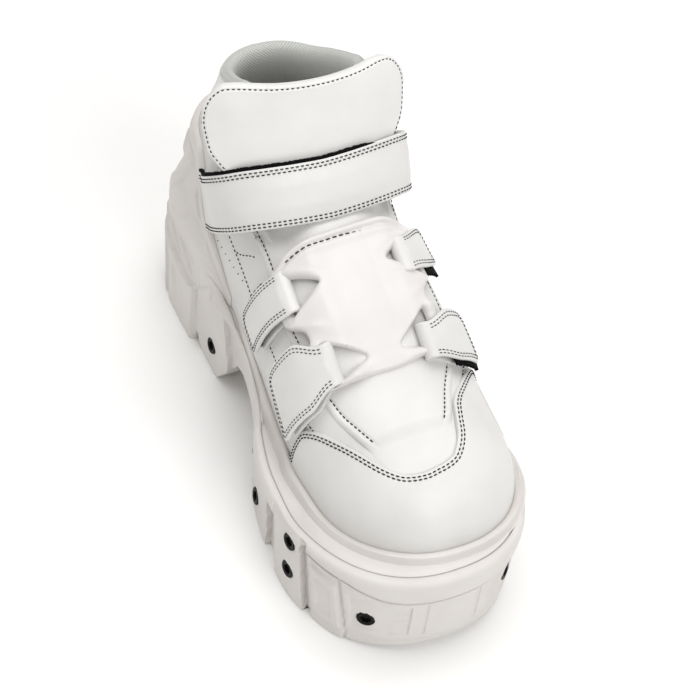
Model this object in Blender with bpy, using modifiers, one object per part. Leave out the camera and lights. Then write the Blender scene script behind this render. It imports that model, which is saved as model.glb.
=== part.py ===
"""Platform ankle boot, left foot, as separate solids.

All sizes are in millimetres and become metres when a mesh is made.  The toe
points to -Y and up is +Z.  "station" is the distance from the back of the sole
along the shoe, "medial" is the side of the other foot (-X), "lateral" is the
outer side (+X).  The sole stands on z = 0.
"""

import math

import bmesh
import bpy
import numpy as np
from mathutils import Matrix, Vector

MM = 0.001
SOLE_LENGTH = 280.0
GAP = 0.3                 # space kept between pieces that touch
MEDIAL = 1.0
LATERAL = -1.0
SIDES = (MEDIAL, LATERAL)

# ---------------------------------------------------------------- the sole's sizes

TOE_ROUND = 66.0          # length of the rounded toe of the wall
TOE_POWER = 2.3
HEEL_ROUND = 44.0
HEEL_POWER = 2.5
HEEL_TAPER = 4.0          # the heel is this much narrower at its top
HEEL_TAPER_END = 110.0

# station, half widths of the wall, height of the flat shelf round the upper
WALL_COLUMNS = "station medial lateral shelf"
WALL_ROWS = (
    (0.0, 47.0, 47.0, 69.0),
    (38.0, 48.5, 48.5, 68.0),
    (73.0, 47.5, 48.5, 65.5),
    (98.0, 46.5, 49.0, 62.0),
    (128.0, 45.5, 52.0, 57.0),
    (156.0, 50.5, 57.0, 52.0),
    (175.0, 56.0, 59.5, 49.5),
    (198.0, 59.0, 59.5, 48.5),
    (220.0, 59.0, 58.5, 48.5),
    (243.0, 58.0, 57.0, 49.0),
    (280.0, 57.5, 56.0, 50.0),
)

# corners of the underside: heel lugs, arch, forefoot and toe spring
TREAD_COLUMNS = "station height"
TREAD_ROWS = (
    (0.0, 3.0),
    (7.0, 0.0),
    (68.0, 0.0),
    (70.0, 12.0),
    (77.0, 12.0),
    (79.0, 0.0),
    (97.0, 0.0),
    (118.0, 29.0),
    (127.0, 33.0),
    (145.0, 33.0),
    (154.0, 28.0),
    (171.0, 3.0),
    (175.0, 0.0),
    (228.0, 0.0),
    (253.0, 2.0),
    (280.0, 9.0),
)

# how far the lower wall is cut back: lug gap, ball recess, panel grooves
RELIEF_COLUMNS = "station depth"
RELIEF_ROWS = (
    (0.0, 0.0),
    (67.0, 0.0),
    (70.0, 4.0),
    (77.0, 4.0),
    (80.0, 0.0),
    (162.0, 0.0),
    (178.0, 2.0),
    (200.0, 3.0),
    (203.0, 0.0),
    (234.0, 0.0),
    (235.0, 2.5),
    (238.0, 2.5),
    (239.0, 0.8),
    (255.0, 0.8),
    (257.0, 0.0),
    (280.0, 0.0),
)

RIM_GAP = 0.8             # between the bead and the toe cap
BEAD_HEIGHT = 4.0         # small rolled edge against the upper
BEAD_WIDTH = 3.5
BEAD_REAR = 127.0         # the bead fades out towards the heel from here
BEAD_BLEND = 20.0
GROOVE_DROP = 0.8
GROOVE_WIDTH = 1.2
EDGE_ROUND = 3.0          # rounding at the top and foot of the wall
DRAFT = 1.5               # the wall leans in this much at its foot
BEDDING = 1.0             # the upper stands this much above the shelf
RELIEF_TOP = 9.0          # the reliefs fade out this far under the shelf

SCREW_RADIUS = 4.5
SCREW_DEPTH = 2.4
POCKET_RADIUS = 4.9
POCKET_DEPTH = 2.8
SCREW_SIDES = 12
SOCKET_RADIUS = 1.7
SOCKET_DEPTH = 1.2

# place on the wall; each screw is made on both sides
SCREW_COLUMNS = "label station height"
SCREW_ROWS = (
    ("bumper", 268.3, 25.0),
    ("panel_upper", 225.5, 38.5),
    ("panel_lower", 224.5, 17.5),
    ("ball_upper", 173.0, 38.0),
    ("ball_lower", 181.0, 14.5),
    ("heel", 93.5, 24.0),
)

# ---------------------------------------------------------------- the upper's sizes

UPPER_BACK = 8.0          # station of the back of the upper
UPPER_FRONT = 263.0
UPPER_WALL = 2.4
UPPER_TOE_ROUND = 48.0
UPPER_TOE_POWER = 2.2
UPPER_HEEL_ROUND = 40.0
UPPER_HEEL_POWER = 2.2
SECTION_POWER = 2.5       # roundness of the cross-section

# station, half widths at the sole, and how far the toe swings to the medial side
LAST_COLUMNS = "station medial lateral swing"
LAST_ROWS = (
    (8.0, 38.5, 38.5, 0.0),
    (38.0, 39.0, 39.0, 0.0),
    (73.0, 39.5, 40.0, 0.0),
    (103.0, 39.5, 41.0, 0.0),
    (138.0, 40.0, 44.0, 0.0),
    (163.0, 41.5, 46.5, 0.0),
    (185.0, 43.0, 47.5, -0.5),
    (199.0, 43.0, 47.0, -1.0),
    (218.0, 43.5, 45.5, -3.0),
    (244.0, 45.0, 44.5, -5.0),
    (263.0, 44.5, 44.5, -5.5),
)

# top line of the closed form: toe, vamp, instep, front of the leg
CREST_COLUMNS = "station height"
CREST_ROWS = (
    (0.0, 900.0),
    (48.0, 470.0),
    (68.0, 330.0),
    (82.0, 240.0),
    (91.0, 197.0),
    (99.0, 170.0),
    (106.0, 152.0),
    (115.0, 137.5),
    (125.5, 128.5),
    (139.0, 122.5),
    (154.0, 118.5),
    (169.0, 113.5),
    (182.0, 106.0),
    (194.0, 99.0),
    (206.0, 94.5),
    (220.0, 91.5),
    (234.0, 88.5),
    (244.0, 84.0),
    (252.0, 77.5),
    (258.0, 69.0),
    (261.5, 61.0),
    (263.0, 50.5),
)

# the leg by height: width against the width at the sole, lean of the back, sway
LEG_COLUMNS = "height share back sway"
LEG_ROWS = (
    (50.0, 1.0, 0.0, 0.0),
    (66.0, 1.0, 0.0, 0.0),
    (85.0, 1.0, -1.0, 0.0),
    (105.0, 0.98, 1.0, -0.5),
    (122.0, 0.93, 4.5, -1.5),
    (140.0, 0.87, 9.0, -2.5),
    (155.0, 0.82, 11.0, -3.0),
    (175.0, 0.78, 12.0, -3.0),
)
LEAN_REACH = 120.0        # the heel's lean dies out over this length
LEG_ROUND = 16.0          # the leg's back is this much longer in its rounding
LEG_ROUND_FROM = 95.0
LEG_ROUND_TO = 145.0
LEG_FRONT = 110.0         # the leg's own shape fades into the foot from here
LEG_FADE = 45.0

# edge of the collar and of the throat, seen from the side
COLLAR_COLUMNS = "station height"
COLLAR_ROWS = (
    (8.0, 140.0),
    (20.0, 142.0),
    (35.0, 149.0),
    (50.0, 157.0),
    (64.0, 164.0),
    (73.0, 164.5),
    (81.0, 155.0),
    (89.0, 141.0),
    (97.0, 129.0),
    (106.0, 121.0),
    (115.0, 117.0),
    (125.0, 114.5),
    (138.0, 112.5),
    (150.0, 112.5),
    (158.0, 115.0),
    (160.0, 130.0),
)
THROAT_END = 160.0

# ---------------------------------------------------------------- tongue, cap, counter

TONGUE_THICK = 6.0
TONGUE_FACE = -4.9        # the tongue's face under the upper's face
TONGUE_WING_DROP = 13.0   # how far its wings bend back
TONGUE_WING = 46.0
# rows from under the saddle to the top: place on the crest, half width, and how
# far the row has left the leg's form for its own place (free station and height)
TONGUE_COLUMNS = "crest half free station height"
TONGUE_ROWS = (
    (174.0, 19.0, 0.0, 174.0, 104.0),
    (163.0, 22.0, 0.0, 163.0, 112.0),
    (152.0, 23.0, 0.0, 152.0, 116.0),
    (142.0, 23.0, 0.0, 142.0, 118.0),
    (132.0, 23.0, 0.0, 132.0, 121.0),
    (124.0, 23.0, 0.1, 122.0, 126.5),
    (117.0, 24.5, 0.35, 115.0, 132.5),
    (112.0, 30.0, 0.65, 109.5, 139.5),
    (108.0, 38.0, 0.9, 106.0, 146.5),
    (105.0, 43.5, 1.0, 103.0, 153.0),
    (101.0, 46.0, 1.0, 100.0, 161.0),
    (97.0, 46.5, 1.0, 97.0, 169.0),
    (94.0, 44.5, 1.0, 94.5, 176.0),
    (91.0, 37.0, 1.0, 92.5, 181.0),
)

LAID_GAP = 0.5            # between the upper and the cap or the counter
CAP_THICK = 1.6
# rear edge of the toe cap, from the sole up to the crest
CAP_COLUMNS = "rise medial lateral"
CAP_ROWS = (
    (0.0, 194.5, 190.5),
    (0.2, 195.5, 191.5),
    (0.35, 199.0, 195.0),
    (0.5, 207.0, 203.5),
    (0.65, 219.5, 218.0),
    (0.75, 231.0, 227.0),
    (0.85, 240.0, 234.5),
    (0.93, 242.8, 238.5),
    (1.0, 241.6, 241.6),
)

COUNTER_THICK_TOP = 2.8
COUNTER_THICK_FRONT = 1.5
COUNTER_FRONT = 104.0     # station where it runs out at the shelf
# upper edge of the heel counter, seen from the side
COUNTER_COLUMNS = "station height"
COUNTER_ROWS = (
    (8.0, 112.0),
    (30.0, 115.0),
    (44.0, 115.0),
    (54.0, 107.0),
    (67.0, 92.0),
    (82.0, 79.0),
    (104.0, 66.0),
)

# ---------------------------------------------------------------- saddle and straps

SADDLE_THICK = 2.8
SADDLE_LOW = 0.4          # its underside in the middle and over the straps
SADDLE_HIGH = 3.5
# outline of one half: width from the crest
SADDLE_COLUMNS = "station half"
SADDLE_ROWS = (
    (128.0, 29.0),
    (133.0, 36.5),
    (155.0, 37.0),
    (161.0, 36.0),
    (165.0, 29.0),
    (170.0, 29.0),
    (173.0, 31.5),
    (189.0, 30.5),
    (191.0, 26.0),
)
SLOT_DEPTH = 15.0         # reach of each triangular slot towards the crest

STRAP_THICK = 2.2
STRAP_LOW = 1.9           # middle of the lower layer above the upper's face
STRAP_HIGH = 8.0          # middle of the upper layer over the saddle's bar
STRAP_LAID = 4.8          # middle of the upper layer at its tip
STRAP_HALF = 12.5
STRAP_BAR = 7.0           # length over the bar
STRAP_TIP = 7.0           # length of the rounded tip
# fold: distance of the fold from the crest; tip and root: heights of the ends
STRAP_COLUMNS = "label side fold_station tip_station slot_half fold tip root"
STRAP_ROWS = (
    ("rear_medial", MEDIAL, 148.0, 144.0, 9.0, 31.0, 74.0, 66.0),
    ("front_medial", MEDIAL, 182.0, 180.0, 8.5, 25.0, 64.0, 59.0),
    ("rear_lateral", LATERAL, 144.5, 141.0, 9.0, 31.0, 74.0, 66.0),
    ("front_lateral", LATERAL, 181.0, 176.5, 8.5, 25.0, 64.0, 59.0),
)

ANKLE_THICK = 2.2
ANKLE_WIDTH = 28.0
# middle line of the ankle strap's outer face, from the front to its end, with the
# direction of its width: back, outwards
ANKLE_COLUMNS = "station across height back flare"
ANKLE_ROWS = (
    (116.5, 0.0, 140.0, 16.0, 0.0),
    (114.5, 18.0, 139.5, 16.0, 0.0),
    (110.0, 33.5, 137.0, 16.0, 0.5),
    (102.5, 43.5, 130.5, 16.0, 1.5),
    (92.5, 47.0, 121.5, 16.0, 2.0),
    (83.0, 45.6, 112.5, 16.0, 0.5),
    (75.0, 43.3, 105.5, 16.0, -1.5),
    (69.0, 42.3, 100.5, 16.0, -1.5),
)

INSOLE_THICK = 3.0
INSOLE_INSET = 4.5
INSOLE_SEAT = 0.4

WHITE_LEATHER = (0.86, 0.86, 0.85)
WHITE_RUBBER = (0.82, 0.80, 0.79)
LINING_GREY = (0.72, 0.73, 0.71)
BLACK_METAL = (0.02, 0.02, 0.02)


# ---------------------------------------------------------------- tables and curves

def table(columns, rows):
    """Turns rows into one array for each named column."""
    return {name: np.array([row[k] for row in rows]) for k, name in enumerate(columns.split())}


def smooth(knots, values, at):
    """Monotone cubic curve through the knots (Fritsch and Carlson slopes)."""
    knots = np.asarray(knots, float)
    values = np.asarray(values, float)
    if knots[0] > knots[-1]:
        knots = knots[::-1]
        values = values[::-1]
    step = np.diff(knots)
    rise = np.diff(values) / step
    slope = np.zeros_like(values)
    same_way = rise[:-1] * rise[1:] > 0
    weight_a = 2 * step[1:] + step[:-1]
    weight_b = step[1:] + 2 * step[:-1]
    with np.errstate(divide="ignore", invalid="ignore"):
        mean = (weight_a + weight_b) / (weight_a / rise[:-1] + weight_b / rise[1:])
    slope[1:-1] = np.where(same_way, mean, 0.0)
    slope[0] = rise[0]
    slope[-1] = rise[-1]
    at = np.clip(np.asarray(at, float), knots[0], knots[-1])
    k = np.clip(np.searchsorted(knots, at, side="right") - 1, 0, len(step) - 1)
    t = (at - knots[k]) / step[k]
    return ((1 + 2 * t) * (1 - t) ** 2 * values[k] + t * (1 - t) ** 2 * step[k] * slope[k]
            + t * t * (3 - 2 * t) * values[k + 1] + t * t * (t - 1) * step[k] * slope[k + 1])


def ease(value, low, high):
    """Smooth step from 0 at low to 1 at high."""
    t = np.clip((np.asarray(value, float) - low) / (high - low), 0.0, 1.0)
    return t * t * (3 - 2 * t)


def rounded_end(distance, length, power):
    """Share of the full width at a distance from a rounded end."""
    t = 1.0 - np.clip(np.asarray(distance, float) / length, 0.0, 1.0)
    return np.maximum(1.0 - t ** power, 0.0) ** (1.0 / power)


WALL = table(WALL_COLUMNS, WALL_ROWS)
TREAD = table(TREAD_COLUMNS, TREAD_ROWS)
RELIEF = table(RELIEF_COLUMNS, RELIEF_ROWS)
LAST = table(LAST_COLUMNS, LAST_ROWS)
CREST = table(CREST_COLUMNS, CREST_ROWS)
LEG = table(LEG_COLUMNS, LEG_ROWS)
COLLAR = table(COLLAR_COLUMNS, COLLAR_ROWS)
TONGUE = table(TONGUE_COLUMNS, TONGUE_ROWS)
CAP = table(CAP_COLUMNS, CAP_ROWS)
COUNTER = table(COUNTER_COLUMNS, COUNTER_ROWS)
SADDLE = table(SADDLE_COLUMNS, SADDLE_ROWS)
ANKLE = table(ANKLE_COLUMNS, ANKLE_ROWS)


def shelf_height(station):
    return smooth(WALL["station"], WALL["shelf"], station)


def feather_height(station):
    """Height at which the upper meets the sole."""
    return shelf_height(station) + BEDDING


def wall_width(station, side):
    """Half width of the sole's wall."""
    column = "medial" if side > 0 else "lateral"
    full = smooth(WALL["station"], WALL[column], station)
    toe = rounded_end(SOLE_LENGTH - station, TOE_ROUND, TOE_POWER)
    heel = rounded_end(station, HEEL_ROUND, HEEL_POWER)
    return full * toe * heel


def crest_height(station):
    return smooth(CREST["station"], CREST["height"], station)


def collar_height(station):
    return smooth(COLLAR["station"], COLLAR["height"], station)


def upper_point(station, rise, side):
    """Point on the upper's outer face.

    rise runs from 0 at the sole to 1 on the crest; the cross-section is a
    superellipse, and the heel leans with the height.
    """
    station, rise = np.broadcast_arrays(np.asarray(station, float), np.asarray(rise, float))
    column = "medial" if side > 0 else "lateral"
    angle = np.clip(rise, 0.0, 1.0) * math.pi / 2
    foot = feather_height(station)
    height = foot + (crest_height(station) - foot) * np.sin(angle) ** (2 / SECTION_POWER)
    half = smooth(LAST["station"], LAST[column], station)
    half = half * rounded_end(UPPER_FRONT - station, UPPER_TOE_ROUND, UPPER_TOE_POWER)
    heel_round = UPPER_HEEL_ROUND + LEG_ROUND * ease(height, LEG_ROUND_FROM, LEG_ROUND_TO)
    half = half * rounded_end(station - UPPER_BACK, heel_round, UPPER_HEEL_POWER)
    rear = 1 - ease(station, LEG_FRONT, LEG_FRONT + LEG_FADE)
    share = 1 + (smooth(LEG["height"], LEG["share"], height) - 1) * rear
    across = half * share * np.maximum(np.cos(angle), 0.0) ** (2 / SECTION_POWER)
    lean = smooth(LEG["height"], LEG["back"], height) * np.clip(1 - station / LEAN_REACH, 0, 1)
    shift = smooth(LAST["station"], LAST["swing"], station)
    shift = shift + smooth(LEG["height"], LEG["sway"], height) * rear
    return np.stack([station + lean, side * across + shift, height], axis=-1)


def rise_at_height(station, height):
    """The rise at which the upper reaches a height."""
    foot = feather_height(station)
    share = np.clip((height - foot) / (crest_height(station) - foot), 0.0, 1.0)
    return np.arcsin(share ** (SECTION_POWER / 2)) / (math.pi / 2)


def rise_by_arc(station, arc_share, low, high, side):
    """Rises that split one rib of the upper, from low to high, at even lengths."""
    fine = np.linspace(low, high, 160)
    points = upper_point(station, fine, side)
    length = np.concatenate([[0], np.cumsum(np.linalg.norm(np.diff(points, axis=0), axis=1))])
    if length[-1] < 1e-6:
        return low + (high - low) * arc_share
    return np.interp(arc_share * length[-1], length, fine)


def offset_point(station, rise, side, distance):
    """Point at a distance outside the upper's face."""
    station = np.clip(station, UPPER_BACK + 0.02, UPPER_FRONT - 0.02)
    rise = np.clip(rise, 0.0, 1.0 - 1e-4)
    here = upper_point(station, rise, side)
    along = upper_point(station + 0.01, rise, side) - upper_point(station - 0.01, rise, side)
    around = (upper_point(station, rise + 1e-4, side)
              - upper_point(station, np.maximum(rise - 1e-4, 0), side))
    normal = np.cross(along, around) * side
    normal = normal / np.maximum(np.linalg.norm(normal, axis=-1, keepdims=True), 1e-12)
    return here - normal * np.asarray(distance, float)[..., None]


def rise_at_distance(station, distance, side):
    """The rise at a distance from the crest, measured round one rib."""
    fine = np.linspace(1.0, 0.0, 200)
    points = upper_point(station, fine, side)
    length = np.concatenate([[0], np.cumsum(np.linalg.norm(np.diff(points, axis=0), axis=1))])
    return np.interp(distance, length, fine)


def distance_at_height(station, height, side):
    """Distance from the crest, round one rib, down to a height."""
    fine = np.linspace(1.0, 0.0, 200)
    points = upper_point(station, fine, side)
    length = np.concatenate([[0], np.cumsum(np.linalg.norm(np.diff(points, axis=0), axis=1))])
    return np.interp(-height, -points[:, 2], length)


def spaced_stations(first, last, count):
    """Stations that crowd towards both rounded ends."""
    turn = np.linspace(0.0, math.pi, count)
    return first + (last - first) * (1 - np.cos(turn)) / 2


# ---------------------------------------------------------------- meshes

def to_world(points):
    """Station, medial offset and height become X, Y and Z in metres."""
    points = np.asarray(points, float)
    x = -points[..., 1]
    y = SOLE_LENGTH / 2 - points[..., 0]
    return np.stack([x, y, points[..., 2]], axis=-1) * MM


def principled(name, colour, roughness, metallic=0.0):
    material = bpy.data.materials.new(name)
    material.use_nodes = True
    shader = material.node_tree.nodes["Principled BSDF"]
    shader.inputs["Base Color"].default_value = (*colour, 1.0)
    shader.inputs["Roughness"].default_value = roughness
    shader.inputs["Metallic"].default_value = metallic
    return material


def add_object(name, mesh, collection, colour, roughness, metallic=0.0):
    mesh.shade_smooth()
    mesh.set_sharp_from_angle(angle=math.radians(38))
    piece = bpy.data.objects.new(name, mesh)
    mesh.materials.append(principled(name + "_finish", colour, roughness, metallic))
    collection.objects.link(piece)
    return piece


def grid_faces(rows, columns, start=0, flip=False):
    """Quads of a grid of rows by columns points."""
    faces = []
    for i in range(rows - 1):
        for j in range(columns - 1):
            a = start + i * columns + j
            quad = (a, a + 1, a + columns + 1, a + columns)
            faces.append(quad[::-1] if flip else quad)
    return faces


def closed_mesh(name, points, faces):
    """Mesh with doubles merged, flat faces dropped and faces turned outwards."""
    mesh = bpy.data.meshes.new(name)
    mesh.from_pydata([tuple(p) for p in points], [], faces)
    work = bmesh.new()
    work.from_mesh(mesh)
    bmesh.ops.remove_doubles(work, verts=work.verts, dist=2e-6)
    bmesh.ops.dissolve_degenerate(work, edges=work.edges, dist=1e-6)
    bmesh.ops.recalc_face_normals(work, faces=work.faces)
    work.to_mesh(mesh)
    work.free()
    return mesh


def slab(name, outer, inner):
    """Solid between two grids of the same shape, closed along all four edges."""
    rows, columns = outer.shape[:2]
    points = np.concatenate([outer.reshape(-1, 3), inner.reshape(-1, 3)])
    second = rows * columns
    faces = grid_faces(rows, columns) + grid_faces(rows, columns, second, flip=True)
    border = [(0, j) for j in range(columns)]
    border += [(i, columns - 1) for i in range(1, rows)]
    border += [(rows - 1, j) for j in range(columns - 2, -1, -1)]
    border += [(i, 0) for i in range(rows - 2, 0, -1)]
    loop = [i * columns + j for i, j in border]
    for a, b in zip(loop, loop[1:] + loop[:1]):
        faces.append((b, a, second + a, second + b))
    return closed_mesh(name, to_world(points), faces)


def both_sides(make):
    """Joins the lateral and medial halves of a grid along the middle line."""
    lateral = make(LATERAL)
    medial = make(MEDIAL)
    return np.concatenate([lateral[:, ::-1], medial[:, 1:]], axis=1)


# ---------------------------------------------------------------- the sole

def sole_stations():
    """Even round the ends, with a station at each corner of the tables."""
    corners = np.concatenate([TREAD["station"], RELIEF["station"]])
    free = spaced_stations(0.0, SOLE_LENGTH, 32)
    clear = [s for s in free if np.min(np.abs(corners - s)) > 2.5]
    return np.unique(np.round(np.concatenate([corners, clear]), 3))


def bead_share(station):
    return ease(station, BEAD_REAR - BEAD_BLEND, BEAD_REAR)


def rim_row(stations, side, distance, height):
    """Row of the rim that follows the upper at a distance."""
    row = offset_point(stations, np.zeros_like(stations), side, distance)
    middle = smooth(LAST["station"], LAST["swing"], stations)
    row[[0, -1], 1] = middle[[0, -1]]
    row[:, 2] = height
    return row


def sole_half(stations, side):
    """Rows of points from the middle of the top, over the rim, to the underside."""
    inner = UPPER_BACK + (UPPER_FRONT - UPPER_BACK) * stations / SOLE_LENGTH
    foot = rim_row(inner, side, np.zeros_like(inner), 0.0)
    shelf = shelf_height(stations)
    seat = feather_height(inner) - GAP
    wall = np.stack([stations, side * wall_width(stations, side), shelf], axis=-1)
    reach = np.maximum(np.linalg.norm(wall[:, :2] - foot[:, :2], axis=1), 1e-6)

    def outside(inset, height):
        row = wall + (foot - wall) * (inset / reach)[:, None]
        row[:, 2] = height
        return row

    bead = bead_share(stations)
    taper = HEEL_TAPER * (1 - ease(stations, HEEL_TAPER_END - 60, HEEL_TAPER_END))
    tread = np.interp(stations, TREAD["station"], TREAD["height"])
    cut = np.interp(stations, RELIEF["station"], RELIEF["depth"])
    start = (LAID_GAP + CAP_THICK) * bead + RIM_GAP
    middle = foot.copy()
    middle[:, 1] = smooth(LAST["station"], LAST["swing"], inner)
    middle[:, 2] = seat
    rows = [
        middle,
        rim_row(inner, side, start, seat),
        rim_row(inner, side, start + 0.6 * bead + 0.1, seat + BEAD_HEIGHT * bead),
        rim_row(inner, side, start + BEAD_WIDTH * bead + 0.2, seat + BEAD_HEIGHT * bead),
        rim_row(inner, side, start + (BEAD_WIDTH + GROOVE_WIDTH) * bead + 0.3,
                seat + (shelf - GROOVE_DROP - seat) * bead),
        outside(EDGE_ROUND + taper, shelf),
        outside(0.6 + taper, shelf - 1.2),
        outside(taper, shelf - EDGE_ROUND - 1),
        outside(0.3 * cut + 0.7 * taper, shelf - RELIEF_TOP),
        outside(cut + DRAFT - 0.5, tread + EDGE_ROUND + 1),
        outside(cut + DRAFT + 1.5, tread),
    ]
    under = rows[-1].copy()
    under[:, 1] = 0.0
    rows.append(under)
    return np.stack(rows)


def sole_mesh():
    stations = sole_stations()
    grid = np.concatenate([sole_half(stations, MEDIAL), sole_half(stations, LATERAL)[::-1]])
    rows, columns = grid.shape[:2]
    faces = grid_faces(rows, columns)
    half = rows // 2
    for j in range(columns - 1):
        faces.append(((rows - 1) * columns + j, (rows - 1) * columns + j + 1, j + 1, j))
    ends = []
    for j in (0, columns - 1):
        for i in range(half):
            ends.append((i * columns + j, (i + 1) * columns + j,
                         (rows - 2 - i) * columns + j, (rows - 1 - i) * columns + j))
    faces += [quad for quad in ends if len(set(quad)) == 4]
    return closed_mesh("outsole", to_world(grid.reshape(-1, 3)), faces)


def wall_frame(station, height, side):
    """Place and outward direction on the wall, in world space."""
    step = 0.5
    here = np.array([station, side * wall_width(station, side), height])
    ahead = np.array([station + step, side * wall_width(station + step, side), height])
    behind = np.array([station - step, side * wall_width(station - step, side), height])
    along = Vector(to_world(ahead) - to_world(behind)).normalized()
    outward = along.cross(Vector((0, 0, 1))) * side
    if outward.dot(Vector(to_world(here))) < 0 and abs(station - 150) > 20:
        outward = -outward
    return Vector(to_world(here)), outward.normalized()


def screw_sites():
    """Name, seat and outward direction of each screw."""
    sites = []
    for label, station, height in SCREW_ROWS:
        for side in SIDES:
            seat, outward = wall_frame(station, height, side)
            cut = np.interp(station, RELIEF["station"], RELIEF["depth"])
            span = shelf_height(station) - RELIEF_TOP - EDGE_ROUND
            share = np.clip((shelf_height(station) - RELIEF_TOP - height) / span, 0.0, 1.0)
            sink = (0.3 * cut + (0.7 * cut + DRAFT - 0.5) * share) * MM
            side_name = "medial" if side > 0 else "lateral"
            sites.append((f"screw_{label}_{side_name}", seat - outward * sink, outward))
    return sites


def disc(radius, length, seat, outward, top, sides=SCREW_SIDES):
    """Cylinder whose outer end lies "top" outside the seat."""
    work = bmesh.new()
    bmesh.ops.create_cone(work, cap_ends=True, segments=sides, radius1=radius * MM,
                          radius2=radius * MM, depth=length * MM)
    turn = outward.to_track_quat("Z", "Y").to_matrix().to_4x4()
    move = Matrix.Translation(seat + outward * (top - length / 2) * MM)
    bmesh.ops.transform(work, matrix=move @ turn, verts=work.verts)
    mesh = bpy.data.meshes.new("disc")
    work.to_mesh(mesh)
    work.free()
    return mesh


def hidden_cutter(name, mesh, cutters):
    piece = bpy.data.objects.new(name, mesh)
    cutters.objects.link(piece)
    piece.hide_render = True
    piece.display_type = "WIRE"
    return piece


def join_meshes(name, meshes):
    work = bmesh.new()
    for mesh in meshes:
        work.from_mesh(mesh)
    joined = bpy.data.meshes.new(name)
    work.to_mesh(joined)
    work.free()
    return joined


def subtract(piece, cutter):
    cut = piece.modifiers.new("cut", "BOOLEAN")
    cut.operation = "DIFFERENCE"
    cut.solver = "EXACT"
    cut.object = cutter


def make_sole(parts, cutters):
    sole = add_object("outsole", sole_mesh(), parts, WHITE_RUBBER, 0.55)
    pockets = [disc(POCKET_RADIUS, POCKET_DEPTH * 3, seat, outward, POCKET_DEPTH * 2)
               for _, seat, outward in screw_sites()]
    subtract(sole, hidden_cutter("screw_pockets", join_meshes("pockets", pockets), cutters))


def make_screws(parts, cutters):
    for name, seat, outward in screw_sites():
        top = -POCKET_DEPTH + GAP + SCREW_DEPTH
        head = add_object(name, disc(SCREW_RADIUS, SCREW_DEPTH, seat, outward, top),
                          parts, BLACK_METAL, 0.4, 0.6)
        socket = disc(SOCKET_RADIUS, SOCKET_DEPTH * 2, seat, outward, top + SOCKET_DEPTH, 6)
        subtract(head, hidden_cutter(name + "_socket", socket, cutters))


# ---------------------------------------------------------------- the upper

def rib_stations():
    """Stations of the upper's ribs; the pieces laid on it share them."""
    return np.unique(np.concatenate([
        spaced_stations(UPPER_BACK, UPPER_FRONT, 30), [150.0, 156.0, 159.0, THROAT_END]]))


def upper_grid(stations, rows):
    """Ribs from the sole to the crest, the throat or the collar, on both sides."""
    def half(side):
        ribs = []
        for station in stations:
            top = 1.0
            if station < THROAT_END:
                top = float(rise_at_height(station, collar_height(station)))
            rises = rise_by_arc(station, np.linspace(0, 1, rows), 0.0, top, side)
            ribs.append(upper_point(station, rises, side))
        return np.stack(ribs, axis=1)
    return both_sides(half)


def make_upper(parts):
    grid = upper_grid(rib_stations(), 11)
    rows, columns = grid.shape[:2]
    mesh = closed_mesh("upper", to_world(grid.reshape(-1, 3)), grid_faces(rows, columns))
    piece = add_object("upper", mesh, parts, WHITE_LEATHER, 0.4)
    wall = piece.modifiers.new("wall", "SOLIDIFY")
    wall.thickness = UPPER_WALL * MM
    wall.offset = -1.0
    wall.use_even_offset = True
    return piece


def make_insole(parts):
    stations = spaced_stations(UPPER_BACK + 1.0, UPPER_FRONT - 2.5, 28)

    def half(side):
        edge = offset_point(stations, np.full_like(stations, 0.02), side, -INSOLE_INSET)
        middle = smooth(LAST["station"], LAST["swing"], edge[:, 0])
        across = np.maximum(side * (edge[:, 1] - middle), 0.0) * side
        across[[0, -1]] = 0.0
        seat = feather_height(edge[:, 0])
        return np.stack([np.stack([edge[:, 0], middle + across * t, seat], axis=-1)
                         for t in (0.0, 0.5, 1.0)], axis=0)

    lateral = half(LATERAL)
    medial = half(MEDIAL)
    flat = np.concatenate([lateral[::-1], medial[1:]], axis=0)
    low = flat.copy()
    low[..., 2] += INSOLE_SEAT
    high = flat.copy()
    high[..., 2] += INSOLE_SEAT + INSOLE_THICK
    add_object("insole", slab("insole", high, low), parts, LINING_GREY, 0.9)


def make_toe_cap(parts):
    share = np.linspace(0.0, 1.0, 11)

    def half(side):
        rises = np.linspace(0.04, 1.0, 13)
        columns = []
        for k in share:
            rear = smooth(CAP["rise"], CAP["medial" if side > 0 else "lateral"], rises)
            station = rear + (UPPER_FRONT - 0.1 - rear) * (1 - (1 - k) ** 1.6)
            columns.append((station, rises))
        return (np.stack([c[0] for c in columns], axis=1),
                np.stack([c[1] for c in columns], axis=1))

    def face(distance):
        sides = []
        for side in SIDES:
            station, rise = half(side)
            sides.append(offset_point(station, rise, side, np.full_like(station, distance)))
        lateral = sides[1]
        medial = sides[0]
        return np.concatenate([lateral, medial[-2::-1]], axis=0)

    inner = face(LAID_GAP)
    outer = face(LAID_GAP + CAP_THICK)
    add_object("toe_cap", slab("toe_cap", outer, inner), parts, WHITE_LEATHER, 0.38)


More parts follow.
